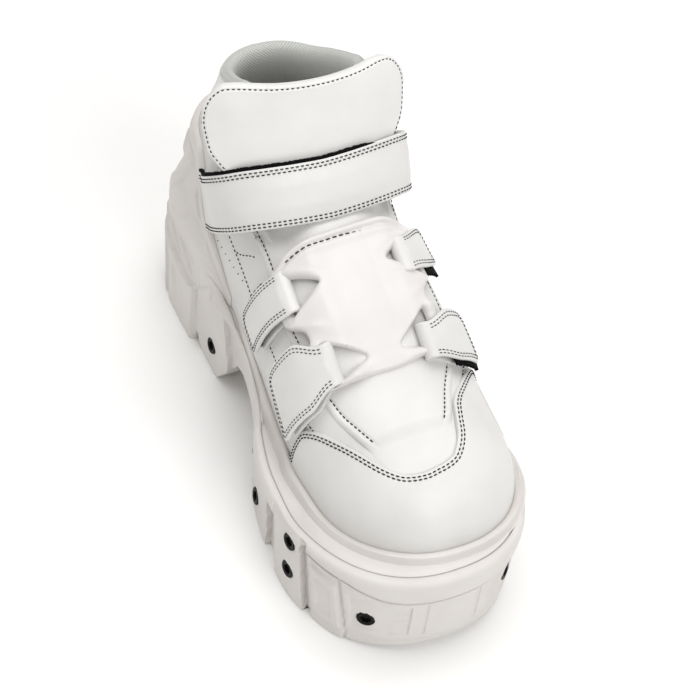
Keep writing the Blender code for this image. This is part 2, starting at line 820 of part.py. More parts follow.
def make_heel_counter(parts):
    stations = rib_stations()
    stations = stations[stations < COUNTER_FRONT]
    share = np.linspace(0.0, 1.0, 7)

    def face(side, outer):
        columns = []
        for station in stations:
            top = float(rise_at_height(station, smooth(COUNTER["station"],
                                                       COUNTER["height"], station)))
            rise = 0.002 + (top - 0.002) * share
            at = np.full_like(rise, station)
            distance = np.full_like(rise, LAID_GAP)
            if outer:
                wall = wall_width(station, side) - HEEL_TAPER
                low = max(float(wall - abs(upper_point(station, 0.0, side)[1])), 3.0)
                low = min(low, 6.5)
                fade = 1 - float(ease(station, 70.0, COUNTER_FRONT))
                low = COUNTER_THICK_FRONT + (low - COUNTER_THICK_FRONT) * fade
                high = COUNTER_THICK_FRONT + (COUNTER_THICK_TOP - COUNTER_THICK_FRONT) * fade
                distance = LAID_GAP + low + (high - low) * ease(share, 0.0, 1.0)
            columns.append(offset_point(at, rise, side, distance))
        grid = np.stack(columns, axis=1)
        grid[:, 0, 1] = 0.0
        grid[0, :, 2] = np.maximum(grid[0, :, 2], shelf_height(grid[0, :, 0]) + BEDDING + 0.1)
        return grid

    def whole(outer):
        lateral = face(LATERAL, outer)
        medial = face(MEDIAL, outer)
        return np.concatenate([lateral[:, ::-1], medial[:, 1:]], axis=1)

    add_object("heel_counter", slab("heel_counter", whole(True), whole(False)),
               parts, WHITE_RUBBER, 0.55)


def tongue_face(depth):
    """Rows of the tongue's face, or of its back when depth is above 0."""
    across = np.linspace(-1.0, 1.0, 13)
    rows = []
    for crest, half, free, station, height in TONGUE_ROWS:
        row = []
        for share in across:
            side = MEDIAL if share > 0 else LATERAL
            distance = abs(share) * half
            rise = float(rise_at_distance(crest, distance, side))
            rise = min(rise, 1 - 1e-4)
            edge = abs(share) ** 4
            own = TONGUE_FACE - depth * (1 - 0.45 * edge)
            on_leg = offset_point(crest, rise, side, own)
            if distance < 1e-6:
                on_leg[1] = 0.0
            bend = TONGUE_WING_DROP * (distance / TONGUE_WING) ** 2
            lean = math.radians(28)
            loose = np.array([station - bend - depth * math.cos(lean) * (1 - 0.45 * edge),
                              share * half, height - depth * math.sin(lean)])
            row.append(on_leg * (1 - free) + loose * free)
        rows.append(np.array(row))
    return np.stack(rows)


def make_tongue(parts):
    add_object("tongue", slab("tongue", tongue_face(0.0), tongue_face(TONGUE_THICK)),
               parts, WHITE_LEATHER, 0.4)


def make_saddle(parts, cutters):
    stations = np.unique(np.concatenate([SADDLE["station"],
                                         np.linspace(SADDLE_ROWS[0][0], SADDLE_ROWS[-1][0], 9)]))
    shares = np.linspace(-1.0, 1.0, 13)

    def face(outer):
        columns = []
        for station in stations:
            half = float(np.interp(station, SADDLE["station"], SADDLE["half"]))
            column = []
            for share in shares:
                side = MEDIAL if share > 0 else LATERAL
                distance = abs(share) * half
                rise = min(float(rise_at_distance(station, distance, side)), 1 - 1e-4)
                low = SADDLE_LOW + (SADDLE_HIGH - SADDLE_LOW) * float(ease(distance, 8, 18))
                point = offset_point(station, rise, side,
                                     low + (SADDLE_THICK if outer else 0.0))
                column.append(point)
            columns.append(np.array(column))
        return np.stack(columns, axis=1)

    saddle = add_object("saddle", slab("saddle", face(True), face(False)),
                        parts, WHITE_LEATHER, 0.42)
    prisms = []
    for label, side, fold_station, tip_station, slot_half, fold, tip, root in STRAP_ROWS:
        corners = []
        for station, distance in ((fold_station - slot_half - 1.0, fold + 0.4),
                                  (fold_station + slot_half + 1.0, fold + 0.4),
                                  (fold_station + slot_half + 1.0, fold - 4.6),
                                  (fold_station + 1.0, fold - SLOT_DEPTH),
                                  (fold_station - slot_half - 1.0, fold - 4.6)):
            rise = float(rise_at_distance(station, distance, side))
            corners.append((station, rise))
        low = [offset_point(s, r, side, -3.0) for s, r in corners]
        high = [offset_point(s, r, side, 14.0) for s, r in corners]
        points = to_world(np.array(low + high))
        count = len(corners)
        ring = [(k, (k + 1) % count) for k in range(count)]
        faces = [tuple(range(count)), tuple(range(2 * count - 1, count - 1, -1))]
        faces += [(b, a, count + a, count + b) for a, b in ring]
        prisms.append(closed_mesh("slot_" + label, points, faces))
    subtract(saddle, hidden_cutter("saddle_slots", join_meshes("slots", prisms), cutters))


def strap_path(fold, tip, root):
    """Distance from the crest and height above the upper, from the root to the tip."""
    radius = (STRAP_HIGH - STRAP_LOW) / 2
    turn = np.linspace(-math.pi / 2, math.pi / 2, 7)
    path = [(d, STRAP_LOW) for d in np.linspace(root, fold + 3, 6)]
    path += [(fold - radius * math.cos(a), (STRAP_LOW + STRAP_HIGH) / 2 + radius * math.sin(a))
             for a in turn]
    start = fold + STRAP_BAR
    path += [(start + (tip - start) * k, STRAP_HIGH + (STRAP_LAID - STRAP_HIGH) * k ** 1.5)
             for k in np.linspace(0.0, 1.0, 9)]
    return np.array(path)


def make_straps(parts):
    for label, side, fold_station, tip_station, slot_half, fold, tip, root in STRAP_ROWS:
        root_distance = float(distance_at_height(tip_station, root, side))
        tip_distance = float(distance_at_height(tip_station, tip, side))
        path = strap_path(fold, tip_distance, root_distance)
        along = np.gradient(path, axis=0)
        normal = np.stack([-along[:, 1], along[:, 0]], axis=1)
        normal = normal / np.linalg.norm(normal, axis=1, keepdims=True)
        reach = (path[:, 0] - fold) / (tip_distance - fold)
        middle = fold_station + (tip_station - fold_station) * np.clip(reach, 0, 1)
        half = slot_half + (STRAP_HALF - slot_half) * ease(path[:, 0], fold, fold + 10)
        upper_layer = np.arange(len(path)) > len(path) // 2
        ends = np.where(upper_layer, (tip_distance - path[:, 0]) / STRAP_TIP, 1.0)
        half = half * (0.45 + 0.55 * np.sqrt(1 - (1 - np.clip(ends, 0, 1)) ** 2))

        def face(sign):
            grid = []
            for k in range(len(path)):
                distance, lift = path[k] + normal[k] * sign * STRAP_THICK / 2
                row = []
                for share in np.linspace(-1.0, 1.0, 4):
                    station = middle[k] + share * half[k]
                    rise = float(rise_at_distance(station, distance, side))
                    row.append(offset_point(station, rise, side, lift))
                grid.append(np.array(row))
            return np.stack(grid)

        add_object("strap_" + label, slab("strap_" + label, face(1.0), face(-1.0)),
                   parts, WHITE_LEATHER, 0.38)


def make_ankle_strap(parts):
    knots = np.arange(len(ANKLE_ROWS))
    at = np.linspace(0, len(ANKLE_ROWS) - 1, 15)
    line = {name: smooth(knots, ANKLE[name], at) for name in ANKLE}

    def half(side, inset):
        mid = np.stack([line["station"], side * line["across"], line["height"]], axis=-1)
        width = np.stack([-line["back"], side * line["flare"],
                          np.sqrt(ANKLE_WIDTH ** 2 - line["back"] ** 2 - line["flare"] ** 2)],
                         axis=-1)
        along = np.gradient(mid, axis=0)
        inward = np.cross(width, along) * side
        inward = inward / np.linalg.norm(inward, axis=1, keepdims=True)
        if inward[0, 0] > 0:
            inward = -inward
        inward[0, 1] = 0.0
        return np.stack([mid + width * k + inward * inset for k in (-0.5, 0.0, 0.5)])

    def whole(inset):
        lateral = half(LATERAL, inset)
        medial = half(MEDIAL, inset)
        return np.concatenate([lateral[:, ::-1], medial[:, 1:]], axis=1)

    add_object("ankle_strap", slab("ankle_strap", whole(0.0), whole(ANKLE_THICK)),
               parts, WHITE_LEATHER, 0.38)


# ---------------------------------------------------------------- assembly

def main():
    for piece in list(bpy.data.objects):
        bpy.data.objects.remove(piece, do_unlink=True)
    parts = bpy.data.collections.new("platform_ankle_boot")
    cutters = bpy.data.collections.new("cutters")
    bpy.context.scene.collection.children.link(parts)
    bpy.context.scene.collection.children.link(cutters)
    make_sole(parts, cutters)
    make_screws(parts, cutters)
    make_upper(parts)
    make_insole(parts)
    make_toe_cap(parts)
    make_heel_counter(parts)
    make_tongue(parts)
    make_saddle(parts, cutters)
    make_straps(parts)
    make_ankle_strap(parts)


main()
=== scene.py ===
"""Platform ankle boot, left foot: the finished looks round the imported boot.

Sizes are in millimetres.  A place on the boot is (station, side offset, height):
station runs from the back of the sole towards the toe, the offset is positive
towards the other foot.  World X is minus the offset, Y is 140 - station.
"""
import math

import bmesh
import bpy
import numpy as np
from mathutils import Euler, Matrix, Vector


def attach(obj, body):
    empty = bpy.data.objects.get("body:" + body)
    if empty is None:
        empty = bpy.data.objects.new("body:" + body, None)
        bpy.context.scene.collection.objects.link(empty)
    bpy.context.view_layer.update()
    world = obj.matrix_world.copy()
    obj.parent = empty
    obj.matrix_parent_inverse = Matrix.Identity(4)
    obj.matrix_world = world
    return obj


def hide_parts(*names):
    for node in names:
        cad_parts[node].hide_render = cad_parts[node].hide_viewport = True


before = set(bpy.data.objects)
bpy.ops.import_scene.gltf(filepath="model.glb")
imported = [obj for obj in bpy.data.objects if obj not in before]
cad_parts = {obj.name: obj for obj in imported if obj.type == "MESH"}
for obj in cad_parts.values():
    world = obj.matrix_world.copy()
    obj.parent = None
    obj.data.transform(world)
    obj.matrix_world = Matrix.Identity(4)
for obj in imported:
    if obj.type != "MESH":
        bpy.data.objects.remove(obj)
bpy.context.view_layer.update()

# ------------------------------------------------------------------ camera, floor, light
# The boot stands on a seamless white sweep, seen from above and in front of its
# inner side, under a large soft box behind the toe's outer side and a white room.
# The camera's place is in metres.  Its tilt up from straight down, its lean and
# its heading are turns in degrees about the world's X, then Y, then Z.

CAMERA_PLACE = (-0.25336, -0.47640, 0.69591)
CAMERA_TILT = 39.893
CAMERA_LEAN = -4.715
CAMERA_HEADING = -23.124
CAMERA_LENS = 90.5

camera = bpy.data.objects.new("camera", bpy.data.cameras.new("camera"))
camera.data.sensor_width = 36.0
camera.data.lens = CAMERA_LENS
camera.data.clip_end = 20.0
camera_turn = Euler([math.radians(CAMERA_TILT), math.radians(CAMERA_LEAN), math.radians(CAMERA_HEADING)])
camera.matrix_world = Matrix.LocRotScale(Vector(CAMERA_PLACE), camera_turn, None)
bpy.context.scene.collection.objects.link(camera)
bpy.context.scene.camera = camera
bpy.context.scene.view_settings.view_transform = "Standard"

FLOOR_REACH = 6.0
floor_mesh = bpy.data.meshes.new("floor")
floor_mesh.from_pydata([(-FLOOR_REACH, -FLOOR_REACH, 0.0), (FLOOR_REACH, -FLOOR_REACH, 0.0),
                        (FLOOR_REACH, FLOOR_REACH, 0.0), (-FLOOR_REACH, FLOOR_REACH, 0.0)],
                       [], [(0, 1, 2, 3)])
floor = bpy.data.objects.new("floor", floor_mesh)
bpy.context.scene.collection.objects.link(floor)
floor_finish = bpy.data.materials.new("white_sweep")
floor_finish.use_nodes = True
floor_shader = floor_finish.node_tree.nodes["Principled BSDF"]
floor_shader.inputs["Base Color"].default_value = (0.97, 0.97, 0.965, 1.0)
floor_shader.inputs["Roughness"].default_value = 0.9
floor_shader.inputs["Specular IOR Level"].default_value = 0.1
floor_mesh.materials.append(floor_finish)

room = bpy.data.worlds.new("room")
room.use_nodes = True
room.node_tree.nodes["Background"].inputs["Color"].default_value = (1.0, 0.985, 0.96, 1.0)
room.node_tree.nodes["Background"].inputs["Strength"].default_value = 0.47
bpy.context.scene.world = room


def soft_box(name, place, aim, width, power):
    """Square area light at a place, turned to face a point."""
    lamp = bpy.data.lights.new(name, "AREA")
    lamp.size = width
    lamp.energy = power
    holder = bpy.data.objects.new(name, lamp)
    towards = Vector(aim) - Vector(place)
    holder.matrix_world = (Matrix.Translation(place)
                           @ towards.to_track_quat("-Z", "Y").to_matrix().to_4x4())
    bpy.context.scene.collection.objects.link(holder)


soft_box("key_box", (0.75, 0.35, 1.6), (0.0, 0.0, 0.05), 1.1, 4.0)
soft_box("top_box", (-0.15, 0.2, 1.9), (0.0, 0.0, 0.05), 1.4, 17.0)
soft_box("front_box", (0.3, -1.6, 1.4), (0.0, 0.0, 0.05), 1.2, 15.0)

# ------------------------------------------------------------------ the upper's leather shell
# White coated leather, drawn over the last: vamp, quarters and collar in one wall
# 2.4 mm thick, open at the throat.  The seams and panels are laid on it later.

MM = 0.001
SOLE_LENGTH = 280.0
MEDIAL = 1.0
LATERAL = -1.0
UPPER_BACK = 8.0
UPPER_FRONT = 263.0
UPPER_WALL = 2.4
UPPER_TOE_ROUND = 48.0
UPPER_TOE_POWER = 2.2
UPPER_HEEL_ROUND = 40.0
UPPER_HEEL_POWER = 2.2
SECTION_POWER = 2.5
LEAN_REACH = 120.0
LEG_ROUND = 16.0
LEG_ROUND_FROM = 95.0
LEG_ROUND_TO = 145.0
LEG_FRONT = 110.0
LEG_FADE = 45.0
THROAT_END = 160.0
BEDDING = 1.0
WHITE_LEATHER = (0.745, 0.74, 0.725)
LEATHER_SHADE = (0.70, 0.692, 0.675)


def table(columns, rows):
    """One array for each named column of the rows."""
    return {name: np.array([row[k] for row in rows], float)
            for k, name in enumerate(columns.split())}


WALL = table("station medial lateral shelf", (
    (0.0, 47.0, 47.0, 69.0), (38.0, 48.5, 48.5, 68.0), (73.0, 47.5, 48.5, 65.5),
    (98.0, 46.5, 49.0, 62.0), (128.0, 42.5, 52.0, 57.0), (156.0, 47.0, 57.0, 52.0),
    (175.0, 55.0, 59.5, 49.2), (198.0, 58.6, 58.8, 48.0), (220.0, 59.0, 56.8, 49.2),
    (243.0, 58.0, 55.2, 53.6), (256.0, 57.8, 55.2, 56.2), (268.0, 57.6, 55.6, 57.8),
    (280.0, 57.5, 56.0, 59.0)))
LAST = table("station medial lateral swing", (
    (8.0, 38.5, 38.5, 0.0), (38.0, 39.0, 39.0, 0.0), (73.0, 39.5, 40.0, 0.0),
    (103.0, 39.5, 41.0, 0.0), (138.0, 40.0, 44.0, 0.0), (163.0, 41.5, 46.5, 0.0),
    (185.0, 43.0, 47.5, -0.5), (199.0, 43.0, 46.0, -1.0), (218.0, 43.5, 44.0, -3.0),
    (244.0, 45.0, 43.0, -5.0), (263.0, 44.5, 44.0, -5.5)))
CREST = table("station height", (
    (0.0, 900.0), (48.0, 470.0), (68.0, 330.0), (82.0, 240.0), (91.0, 197.0),
    (99.0, 170.0), (106.0, 152.0), (115.0, 137.5), (125.5, 128.5), (139.0, 122.5),
    (154.0, 118.5), (169.0, 113.5), (182.0, 106.0), (194.0, 99.0), (206.0, 94.5),
    (220.0, 91.5), (234.0, 88.5), (244.0, 84.5), (252.0, 79.0), (258.0, 72.5),
    (261.5, 66.5), (263.0, 59.5)))
LEG = table("height share back sway", (
    (50.0, 1.0, 0.0, 0.0), (66.0, 1.0, 0.0, 0.0), (85.0, 1.0, -1.0, 0.0),
    (105.0, 0.96, 1.0, -0.8), (122.0, 0.915, 4.5, -2.0), (140.0, 0.87, 9.0, -3.6),
    (155.0, 0.82, 11.0, -4.8), (175.0, 0.78, 12.0, -4.8)))
COLLAR = table("station height", (
    (8.0, 141.5), (20.0, 143.8), (35.0, 151.0), (50.0, 159.0), (64.0, 165.5),
    (73.0, 165.0), (81.0, 155.0), (89.0, 141.0), (97.0, 129.0), (106.0, 121.0),
    (115.0, 117.0), (125.0, 114.5), (138.0, 112.5), (150.0, 112.5), (158.0, 115.0),
    (160.0, 130.0)))


def smooth(knots, values, at):
    """Monotone cubic through the knots: Hermite pieces whose slope at a knot is the
    weighted harmonic mean of the slopes on both sides, or 0 at a turn."""
    step = np.diff(knots)
    rise = np.diff(values) / step
    slope = np.zeros_like(values)
    same_way = rise[:-1] * rise[1:] > 0
    before = 2 * step[1:] + step[:-1]
    after = step[1:] + 2 * step[:-1]
    with np.errstate(divide="ignore", invalid="ignore"):
        mean = (before + after) / (before / rise[:-1] + after / rise[1:])
    slope[1:-1] = np.where(same_way, mean, 0.0)
    slope[0] = rise[0]
    slope[-1] = rise[-1]
    at = np.clip(np.asarray(at, float), knots[0], knots[-1])
    k = np.clip(np.searchsorted(knots, at, side="right") - 1, 0, len(step) - 1)
    t = (at - knots[k]) / step[k]
    return ((1 + 2 * t) * (1 - t) ** 2 * values[k] + t * (1 - t) ** 2 * step[k] * slope[k]
            + t * t * (3 - 2 * t) * values[k + 1] + t * t * (t - 1) * step[k] * slope[k + 1])


def ease(value, low, high):
    """3t^2 - 2t^3, with t the value's share of the way from low to high."""
    t = np.clip((np.asarray(value, float) - low) / (high - low), 0.0, 1.0)
    return t * t * (3 - 2 * t)


def rounded_end(distance, length, power):
    """(1 - t^p)^(1/p), with t = 1 - distance / length."""
    t = 1.0 - np.clip(np.asarray(distance, float) / length, 0.0, 1.0)
    return np.maximum(1.0 - t ** power, 0.0) ** (1.0 / power)


def shelf_height(station):
    """Height of the sole's rim, read from the wall's table."""
    return smooth(WALL["station"], WALL["shelf"], station)


def feather_height(station):
    """Height at which the upper meets the sole: the shelf plus its bedding."""
    return shelf_height(station) + BEDDING


def crest_height(station):
    """Height of the upper's top line, read from the crest's table."""
    return smooth(CREST["station"], CREST["height"], station)


def collar_height(station):
    """Height of the collar's edge, read from the collar's table."""
    return smooth(COLLAR["station"], COLLAR["height"], station)


def upper_point(station, rise, side):
    """Superellipse section: height = foot + (crest - foot) sin(a)^(2/p) and
    across = half cos(a)^(2/p), a = rise * pi/2; half shrinks at the rounded ends
    and with the leg's height, and the heel leans forward with the height."""
    station, rise, side = np.broadcast_arrays(np.asarray(station, float),
                                              np.asarray(rise, float),
                                              np.asarray(side, float))
    angle = np.clip(rise, 0.0, 1.0) * math.pi / 2
    foot = feather_height(station)
    height = foot + (crest_height(station) - foot) * np.sin(angle) ** (2 / SECTION_POWER)
    half = np.where(side > 0, smooth(LAST["station"], LAST["medial"], station),
                    smooth(LAST["station"], LAST["lateral"], station))
    half = half * rounded_end(UPPER_FRONT - station, UPPER_TOE_ROUND, UPPER_TOE_POWER)
    heel_round = UPPER_HEEL_ROUND + LEG_ROUND * ease(height, LEG_ROUND_FROM, LEG_ROUND_TO)
    half = half * rounded_end(station - UPPER_BACK, heel_round, UPPER_HEEL_POWER)
    rear = 1 - ease(station, LEG_FRONT, LEG_FRONT + LEG_FADE)
    share = 1 + (smooth(LEG["height"], LEG["share"], height) - 1) * rear
    across = half * share * np.maximum(np.cos(angle), 0.0) ** (2 / SECTION_POWER)
    lean = smooth(LEG["height"], LEG["back"], height) * np.clip(1 - station / LEAN_REACH, 0, 1)
    shift = smooth(LAST["station"], LAST["swing"], station)
    shift = shift + smooth(LEG["height"], LEG["sway"], height) * rear
    return np.stack([station + lean, side * across + shift, height], axis=-1)


def rise_at_height(station, height):
    """The section's angle for a height, from the inverse of its sine law."""
    foot = feather_height(station)
    share = np.clip((height - foot) / (crest_height(station) - foot), 0.0, 1.0)
    return np.arcsin(share ** (SECTION_POWER / 2)) / (math.pi / 2)


def upper_normal(station, rise, side):
    """Unit normal from the cross product of the two central differences."""
    station = np.clip(station, UPPER_BACK + 0.02, UPPER_FRONT - 0.02)
    rise = np.clip(rise, 0.0, 1.0 - 1e-4)
    side = np.asarray(side, float)
    along = upper_point(station + 0.01, rise, side) - upper_point(station - 0.01, rise, side)
    around = (upper_point(station, rise + 1e-4, side)
              - upper_point(station, np.maximum(rise - 1e-4, 0), side))
    normal = -np.cross(along, around) * side[..., None]
    return normal / np.maximum(np.linalg.norm(normal, axis=-1, keepdims=True), 1e-12)


def lifted(station, rise, side, lift):
    """Point of the upper's face moved out along its normal."""
    station, rise, side, lift = np.broadcast_arrays(
        np.asarray(station, float), np.asarray(rise, float),
        np.asarray(side, float), np.asarray(lift, float))
    station = np.clip(station, UPPER_BACK + 0.02, UPPER_FRONT - 0.02)
    rise = np.clip(rise, 0.0, 1.0 - 1e-4)
    return upper_point(station, rise, side) + upper_normal(station, rise, side) * lift[..., None]


RIB_STATIONS = np.linspace(UPPER_BACK + 0.02, UPPER_FRONT - 0.02, 320)
RIB_STEP = 0.5
RIB_REACH = 130.0


def crest_table(side):
    """For each rib, the rise at even distances from the crest, measured round it."""
    fine = np.linspace(1.0, 0.0, 500)
    points = upper_point(RIB_STATIONS[:, None], fine[None, :], side)
    steps = np.linalg.norm(np.diff(points, axis=1), axis=2)
    length = np.concatenate([np.zeros((len(RIB_STATIONS), 1)), np.cumsum(steps, axis=1)], axis=1)
    wanted = np.arange(0.0, RIB_REACH, RIB_STEP)
    return np.stack([np.interp(wanted, row, fine) for row in length])


CREST_RISES = {MEDIAL: crest_table(MEDIAL), LATERAL: crest_table(LATERAL)}


def rise_across(station, across):
    """Rise at a signed distance from the crest, by bilinear look-up in the ribs."""
    station, across = np.broadcast_arrays(np.asarray(station, float), np.asarray(across, float))
    i = np.clip((station - RIB_STATIONS[0]) / (RIB_STATIONS[1] - RIB_STATIONS[0]),
                0, len(RIB_STATIONS) - 1.001)
    j = np.clip(np.abs(across) / RIB_STEP, 0, CREST_RISES[MEDIAL].shape[1] - 1.001)
    i0 = i.astype(int)
    j0 = j.astype(int)
    a = i - i0
    b = j - j0

    def look(rises):
        """Rise between four neighbours of the table, weighted by nearness."""
        return ((1 - a) * (1 - b) * rises[i0, j0] + a * (1 - b) * rises[i0 + 1, j0]
                + (1 - a) * b * rises[i0, j0 + 1] + a * b * rises[i0 + 1, j0 + 1])
    return np.where(across > 0, look(CREST_RISES[MEDIAL]), look(CREST_RISES[LATERAL]))


def over_crest(station, across, lift):
    """Point by station and signed distance round the rib from the crest."""
    station, across = np.broadcast_arrays(np.asarray(station, float), np.asarray(across, float))
    side = np.where(across > 0, MEDIAL, LATERAL)
    return lifted(station, rise_across(station, across), side, lift)


def on_side(station, height, side, lift):
    """Point by station and height on one side."""
    return lifted(station, rise_at_height(station, height), side, lift)


def across_at_height(station, height, side):
    """Signed distance round the rib from the crest down to a height."""
    station, height = np.broadcast_arrays(np.asarray(station, float), np.asarray(height, float))
    wanted = np.arange(0.0, RIB_REACH, RIB_STEP)
    rise = rise_at_height(station, height)
    near = np.clip(np.searchsorted(RIB_STATIONS, station), 0, len(RIB_STATIONS) - 1)
    rows = CREST_RISES[side][near.ravel()]
    found = [np.interp(-r, -row, wanted) for r, row in zip(rise.ravel(), rows)]
    return side * np.array(found).reshape(station.shape)


def to_world(points):
    """X = -offset, Y = half the sole - station, Z = height, in metres."""
    points = np.asarray(points, float)
    return np.stack([-points[..., 1], SOLE_LENGTH / 2 - points[..., 0], points[..., 2]],
                    axis=-1) * MM


def grid_quads(rows, columns, start=0, flip=False):
    """Corner numbers a, a+1, a+columns+1, a+columns of each cell of a grid."""
    a = start + (np.arange(rows - 1)[:, None] * columns + np.arange(columns - 1)).ravel()
    quads = np.stack([a, a + 1, a + columns + 1, a + columns], axis=1)
    return quads[:, ::-1] if flip else quads


def shell_parts(outer, inner):
    """Points and quads of the solid between two grids, closed along its border."""
    rows, columns = outer.shape[:2]
    second = rows * columns
    row_a = np.arange(columns)
    border = np.concatenate([row_a, (np.arange(1, rows) * columns) + columns - 1,
                             (rows - 1) * columns + row_a[-2::-1],
                             np.arange(rows - 2, 0, -1) * columns])
    ahead = np.roll(border, -1)
    rim = np.stack([ahead, border, border + second, ahead + second], axis=1)
    quads = np.concatenate([grid_quads(rows, columns),
                            grid_quads(rows, columns, second, flip=True), rim])
    return np.concatenate([outer.reshape(-1, 3), inner.reshape(-1, 3)]), quads


def build(name, points, quads, material, sharp=50.0, weave=None):
    """Mesh object: doubles merged, collapsed faces dropped, faces turned outwards.
    A place in the weave for each point rides along and becomes the UV map."""
    mesh = bpy.data.meshes.new(name)
    mesh.from_pydata(to_world(points).tolist(), [], np.asarray(quads).tolist())
    if weave is not None:
        spot = mesh.attributes.new("weave_place", "FLOAT_VECTOR", "POINT")
        spot.data.foreach_set("vector", weave.astype(np.float32).ravel())
    work = bmesh.new()
    work.from_mesh(mesh)
    bmesh.ops.remove_doubles(work, verts=work.verts, dist=4e-6)
    bmesh.ops.dissolve_degenerate(work, edges=work.edges, dist=2e-6)
    bmesh.ops.recalc_face_normals(work, faces=work.faces)
    work.to_mesh(mesh)
    work.free()
    if weave is not None:
        place = np.empty(3 * len(mesh.vertices), np.float32)
        mesh.attributes["weave_place"].data.foreach_get("vector", place)
        corner = np.empty(len(mesh.loops), np.int32)
        mesh.loops.foreach_get("vertex_index", corner)
        layer = mesh.uv_layers.new(name="weave")
        layer.data.foreach_set("uv", place.reshape(-1, 3)[corner, :2].ravel())
        mesh.attributes.remove(mesh.attributes["weave_place"])
    mesh.shade_smooth()
    mesh.set_sharp_from_angle(angle=math.radians(sharp))
    mesh.materials.append(material)
    piece = bpy.data.objects.new(name, mesh)
    bpy.context.scene.collection.objects.link(piece)
    return piece


def both_sides(make):
    """Lateral and medial halves of a grid, joined along the middle line."""
    return np.concatenate([make(LATERAL)[:, ::-1], make(MEDIAL)[:, 1:]], axis=1)


def surface_relief_group():
    """Node group: height = coarse pebbles (cell borders) + fine noise, and a slow
    cloud mask, all from the object's own coordinates."""
    group = bpy.data.node_groups.new("surface_relief", "ShaderNodeTree")
    for name, value in (("Pebble Size", 0.0011), ("Pebble Share", 0.5), ("Cloud Size", 0.03)):
        socket = group.interface.new_socket(name, in_out="INPUT", socket_type="NodeSocketFloat")
        socket.default_value = value
    group.interface.new_socket("Height", in_out="OUTPUT", socket_type="NodeSocketFloat")
    group.interface.new_socket("Cloud", in_out="OUTPUT", socket_type="NodeSocketFloat")
    nodes = group.nodes
    links = group.links
    given = nodes.new("NodeGroupInput")
    result = nodes.new("NodeGroupOutput")
    place = nodes.new("ShaderNodeTexCoord")
    fine = nodes.new("ShaderNodeMath")
    fine.operation = "DIVIDE"
    fine.inputs[0].default_value = 1.0
    links.new(given.outputs["Pebble Size"], fine.inputs[1])
    slow = nodes.new("ShaderNodeMath")
    slow.operation = "DIVIDE"
    slow.inputs[0].default_value = 1.0
    links.new(given.outputs["Cloud Size"], slow.inputs[1])
    pebbles = nodes.new("ShaderNodeTexVoronoi")
    pebbles.feature = "DISTANCE_TO_EDGE"
    links.new(place.outputs["Object"], pebbles.inputs["Vector"])
    links.new(fine.outputs[0], pebbles.inputs["Scale"])
    domed = nodes.new("ShaderNodeMapRange")
    domed.interpolation_type = "SMOOTHSTEP"
    domed.inputs["From Max"].default_value = 0.35
    links.new(pebbles.outputs["Distance"], domed.inputs["Value"])
    dust = nodes.new("ShaderNodeTexNoise")
    dust.inputs["Detail"].default_value = 4.0
    links.new(place.outputs["Object"], dust.inputs["Vector"])
    links.new(fine.outputs[0], dust.inputs["Scale"])
    blend = nodes.new("ShaderNodeMix")
    links.new(given.outputs["Pebble Share"], blend.inputs["Factor"])
    links.new(dust.outputs["Fac"], blend.inputs["A"])
    links.new(domed.outputs["Result"], blend.inputs["B"])
    clouds = nodes.new("ShaderNodeTexNoise")
    clouds.inputs["Detail"].default_value = 3.0
    links.new(place.outputs["Object"], clouds.inputs["Vector"])
    links.new(slow.outputs[0], clouds.inputs["Scale"])
    links.new(blend.outputs["Result"], result.inputs["Height"])
    links.new(clouds.outputs["Fac"], result.inputs["Cloud"])
    return group


SURFACE_RELIEF = surface_relief_group()


def coated(name, colour, shade, roughness, pebble, share, depth, sheen=0.0):
    """Principled surface: colour drifts from shade to colour with the clouds,
    roughness with them too, and the pebbles bump the normal."""
    material = bpy.data.materials.new(name)
    material.use_nodes = True
    nodes = material.node_tree.nodes
    links = material.node_tree.links
    shader = nodes["Principled BSDF"]
    relief = nodes.new("ShaderNodeGroup")
    relief.node_tree = SURFACE_RELIEF
    relief.inputs["Pebble Size"].default_value = pebble
    relief.inputs["Pebble Share"].default_value = share
    drift = nodes.new("ShaderNodeMix")
    drift.data_type = "RGBA"
    drift.inputs["A"].default_value = (*shade, 1.0)
    drift.inputs["B"].default_value = (*colour, 1.0)
    spread = nodes.new("ShaderNodeMapRange")
    spread.inputs["From Min"].default_value = 0.3
    spread.inputs["From Max"].default_value = 0.6
    links.new(relief.outputs["Cloud"], spread.inputs["Value"])
    links.new(spread.outputs["Result"], drift.inputs["Factor"])
    links.new(drift.outputs["Result"], shader.inputs["Base Color"])
    polish = nodes.new("ShaderNodeMapRange")
    polish.inputs["To Min"].default_value = roughness + 0.06
    polish.inputs["To Max"].default_value = roughness - 0.06
    links.new(relief.outputs["Cloud"], polish.inputs["Value"])
    links.new(polish.outputs["Result"], shader.inputs["Roughness"])
    bump = nodes.new("ShaderNodeBump")
    bump.inputs["Distance"].default_value = depth
    bump.inputs["Strength"].default_value = 0.6
    links.new(relief.outputs["Height"], bump.inputs["Height"])
    links.new(bump.outputs["Normal"], shader.inputs["Normal"])
    shader.inputs["Sheen Weight"].default_value = sheen
    return material


leather = coated("white_coated_leather", WHITE_LEATHER, LEATHER_SHADE, 0.36, 0.0009, 0.5, 0.00006)


def upper_half(side, lift=0.0, rib_count=200, rows=74):
    """Ribs at stations crowded towards both ends; along a rib even rises from the
    sole to the crest, or to the collar and throat edge where it is open."""
    turn = np.linspace(0.0, math.pi, rib_count)
    station = UPPER_BACK + (UPPER_FRONT - UPPER_BACK) * (1 - np.cos(turn)) / 2
    station = np.sort(np.concatenate([station, [159.4, 159.8, THROAT_END]]))
    top = np.where(station < THROAT_END, rise_at_height(station, collar_height(station)), 1.0)
    share = np.linspace(0.0, 1.0, rows)[:, None] ** 0.9
    return lifted(station, top * share, side, lift)


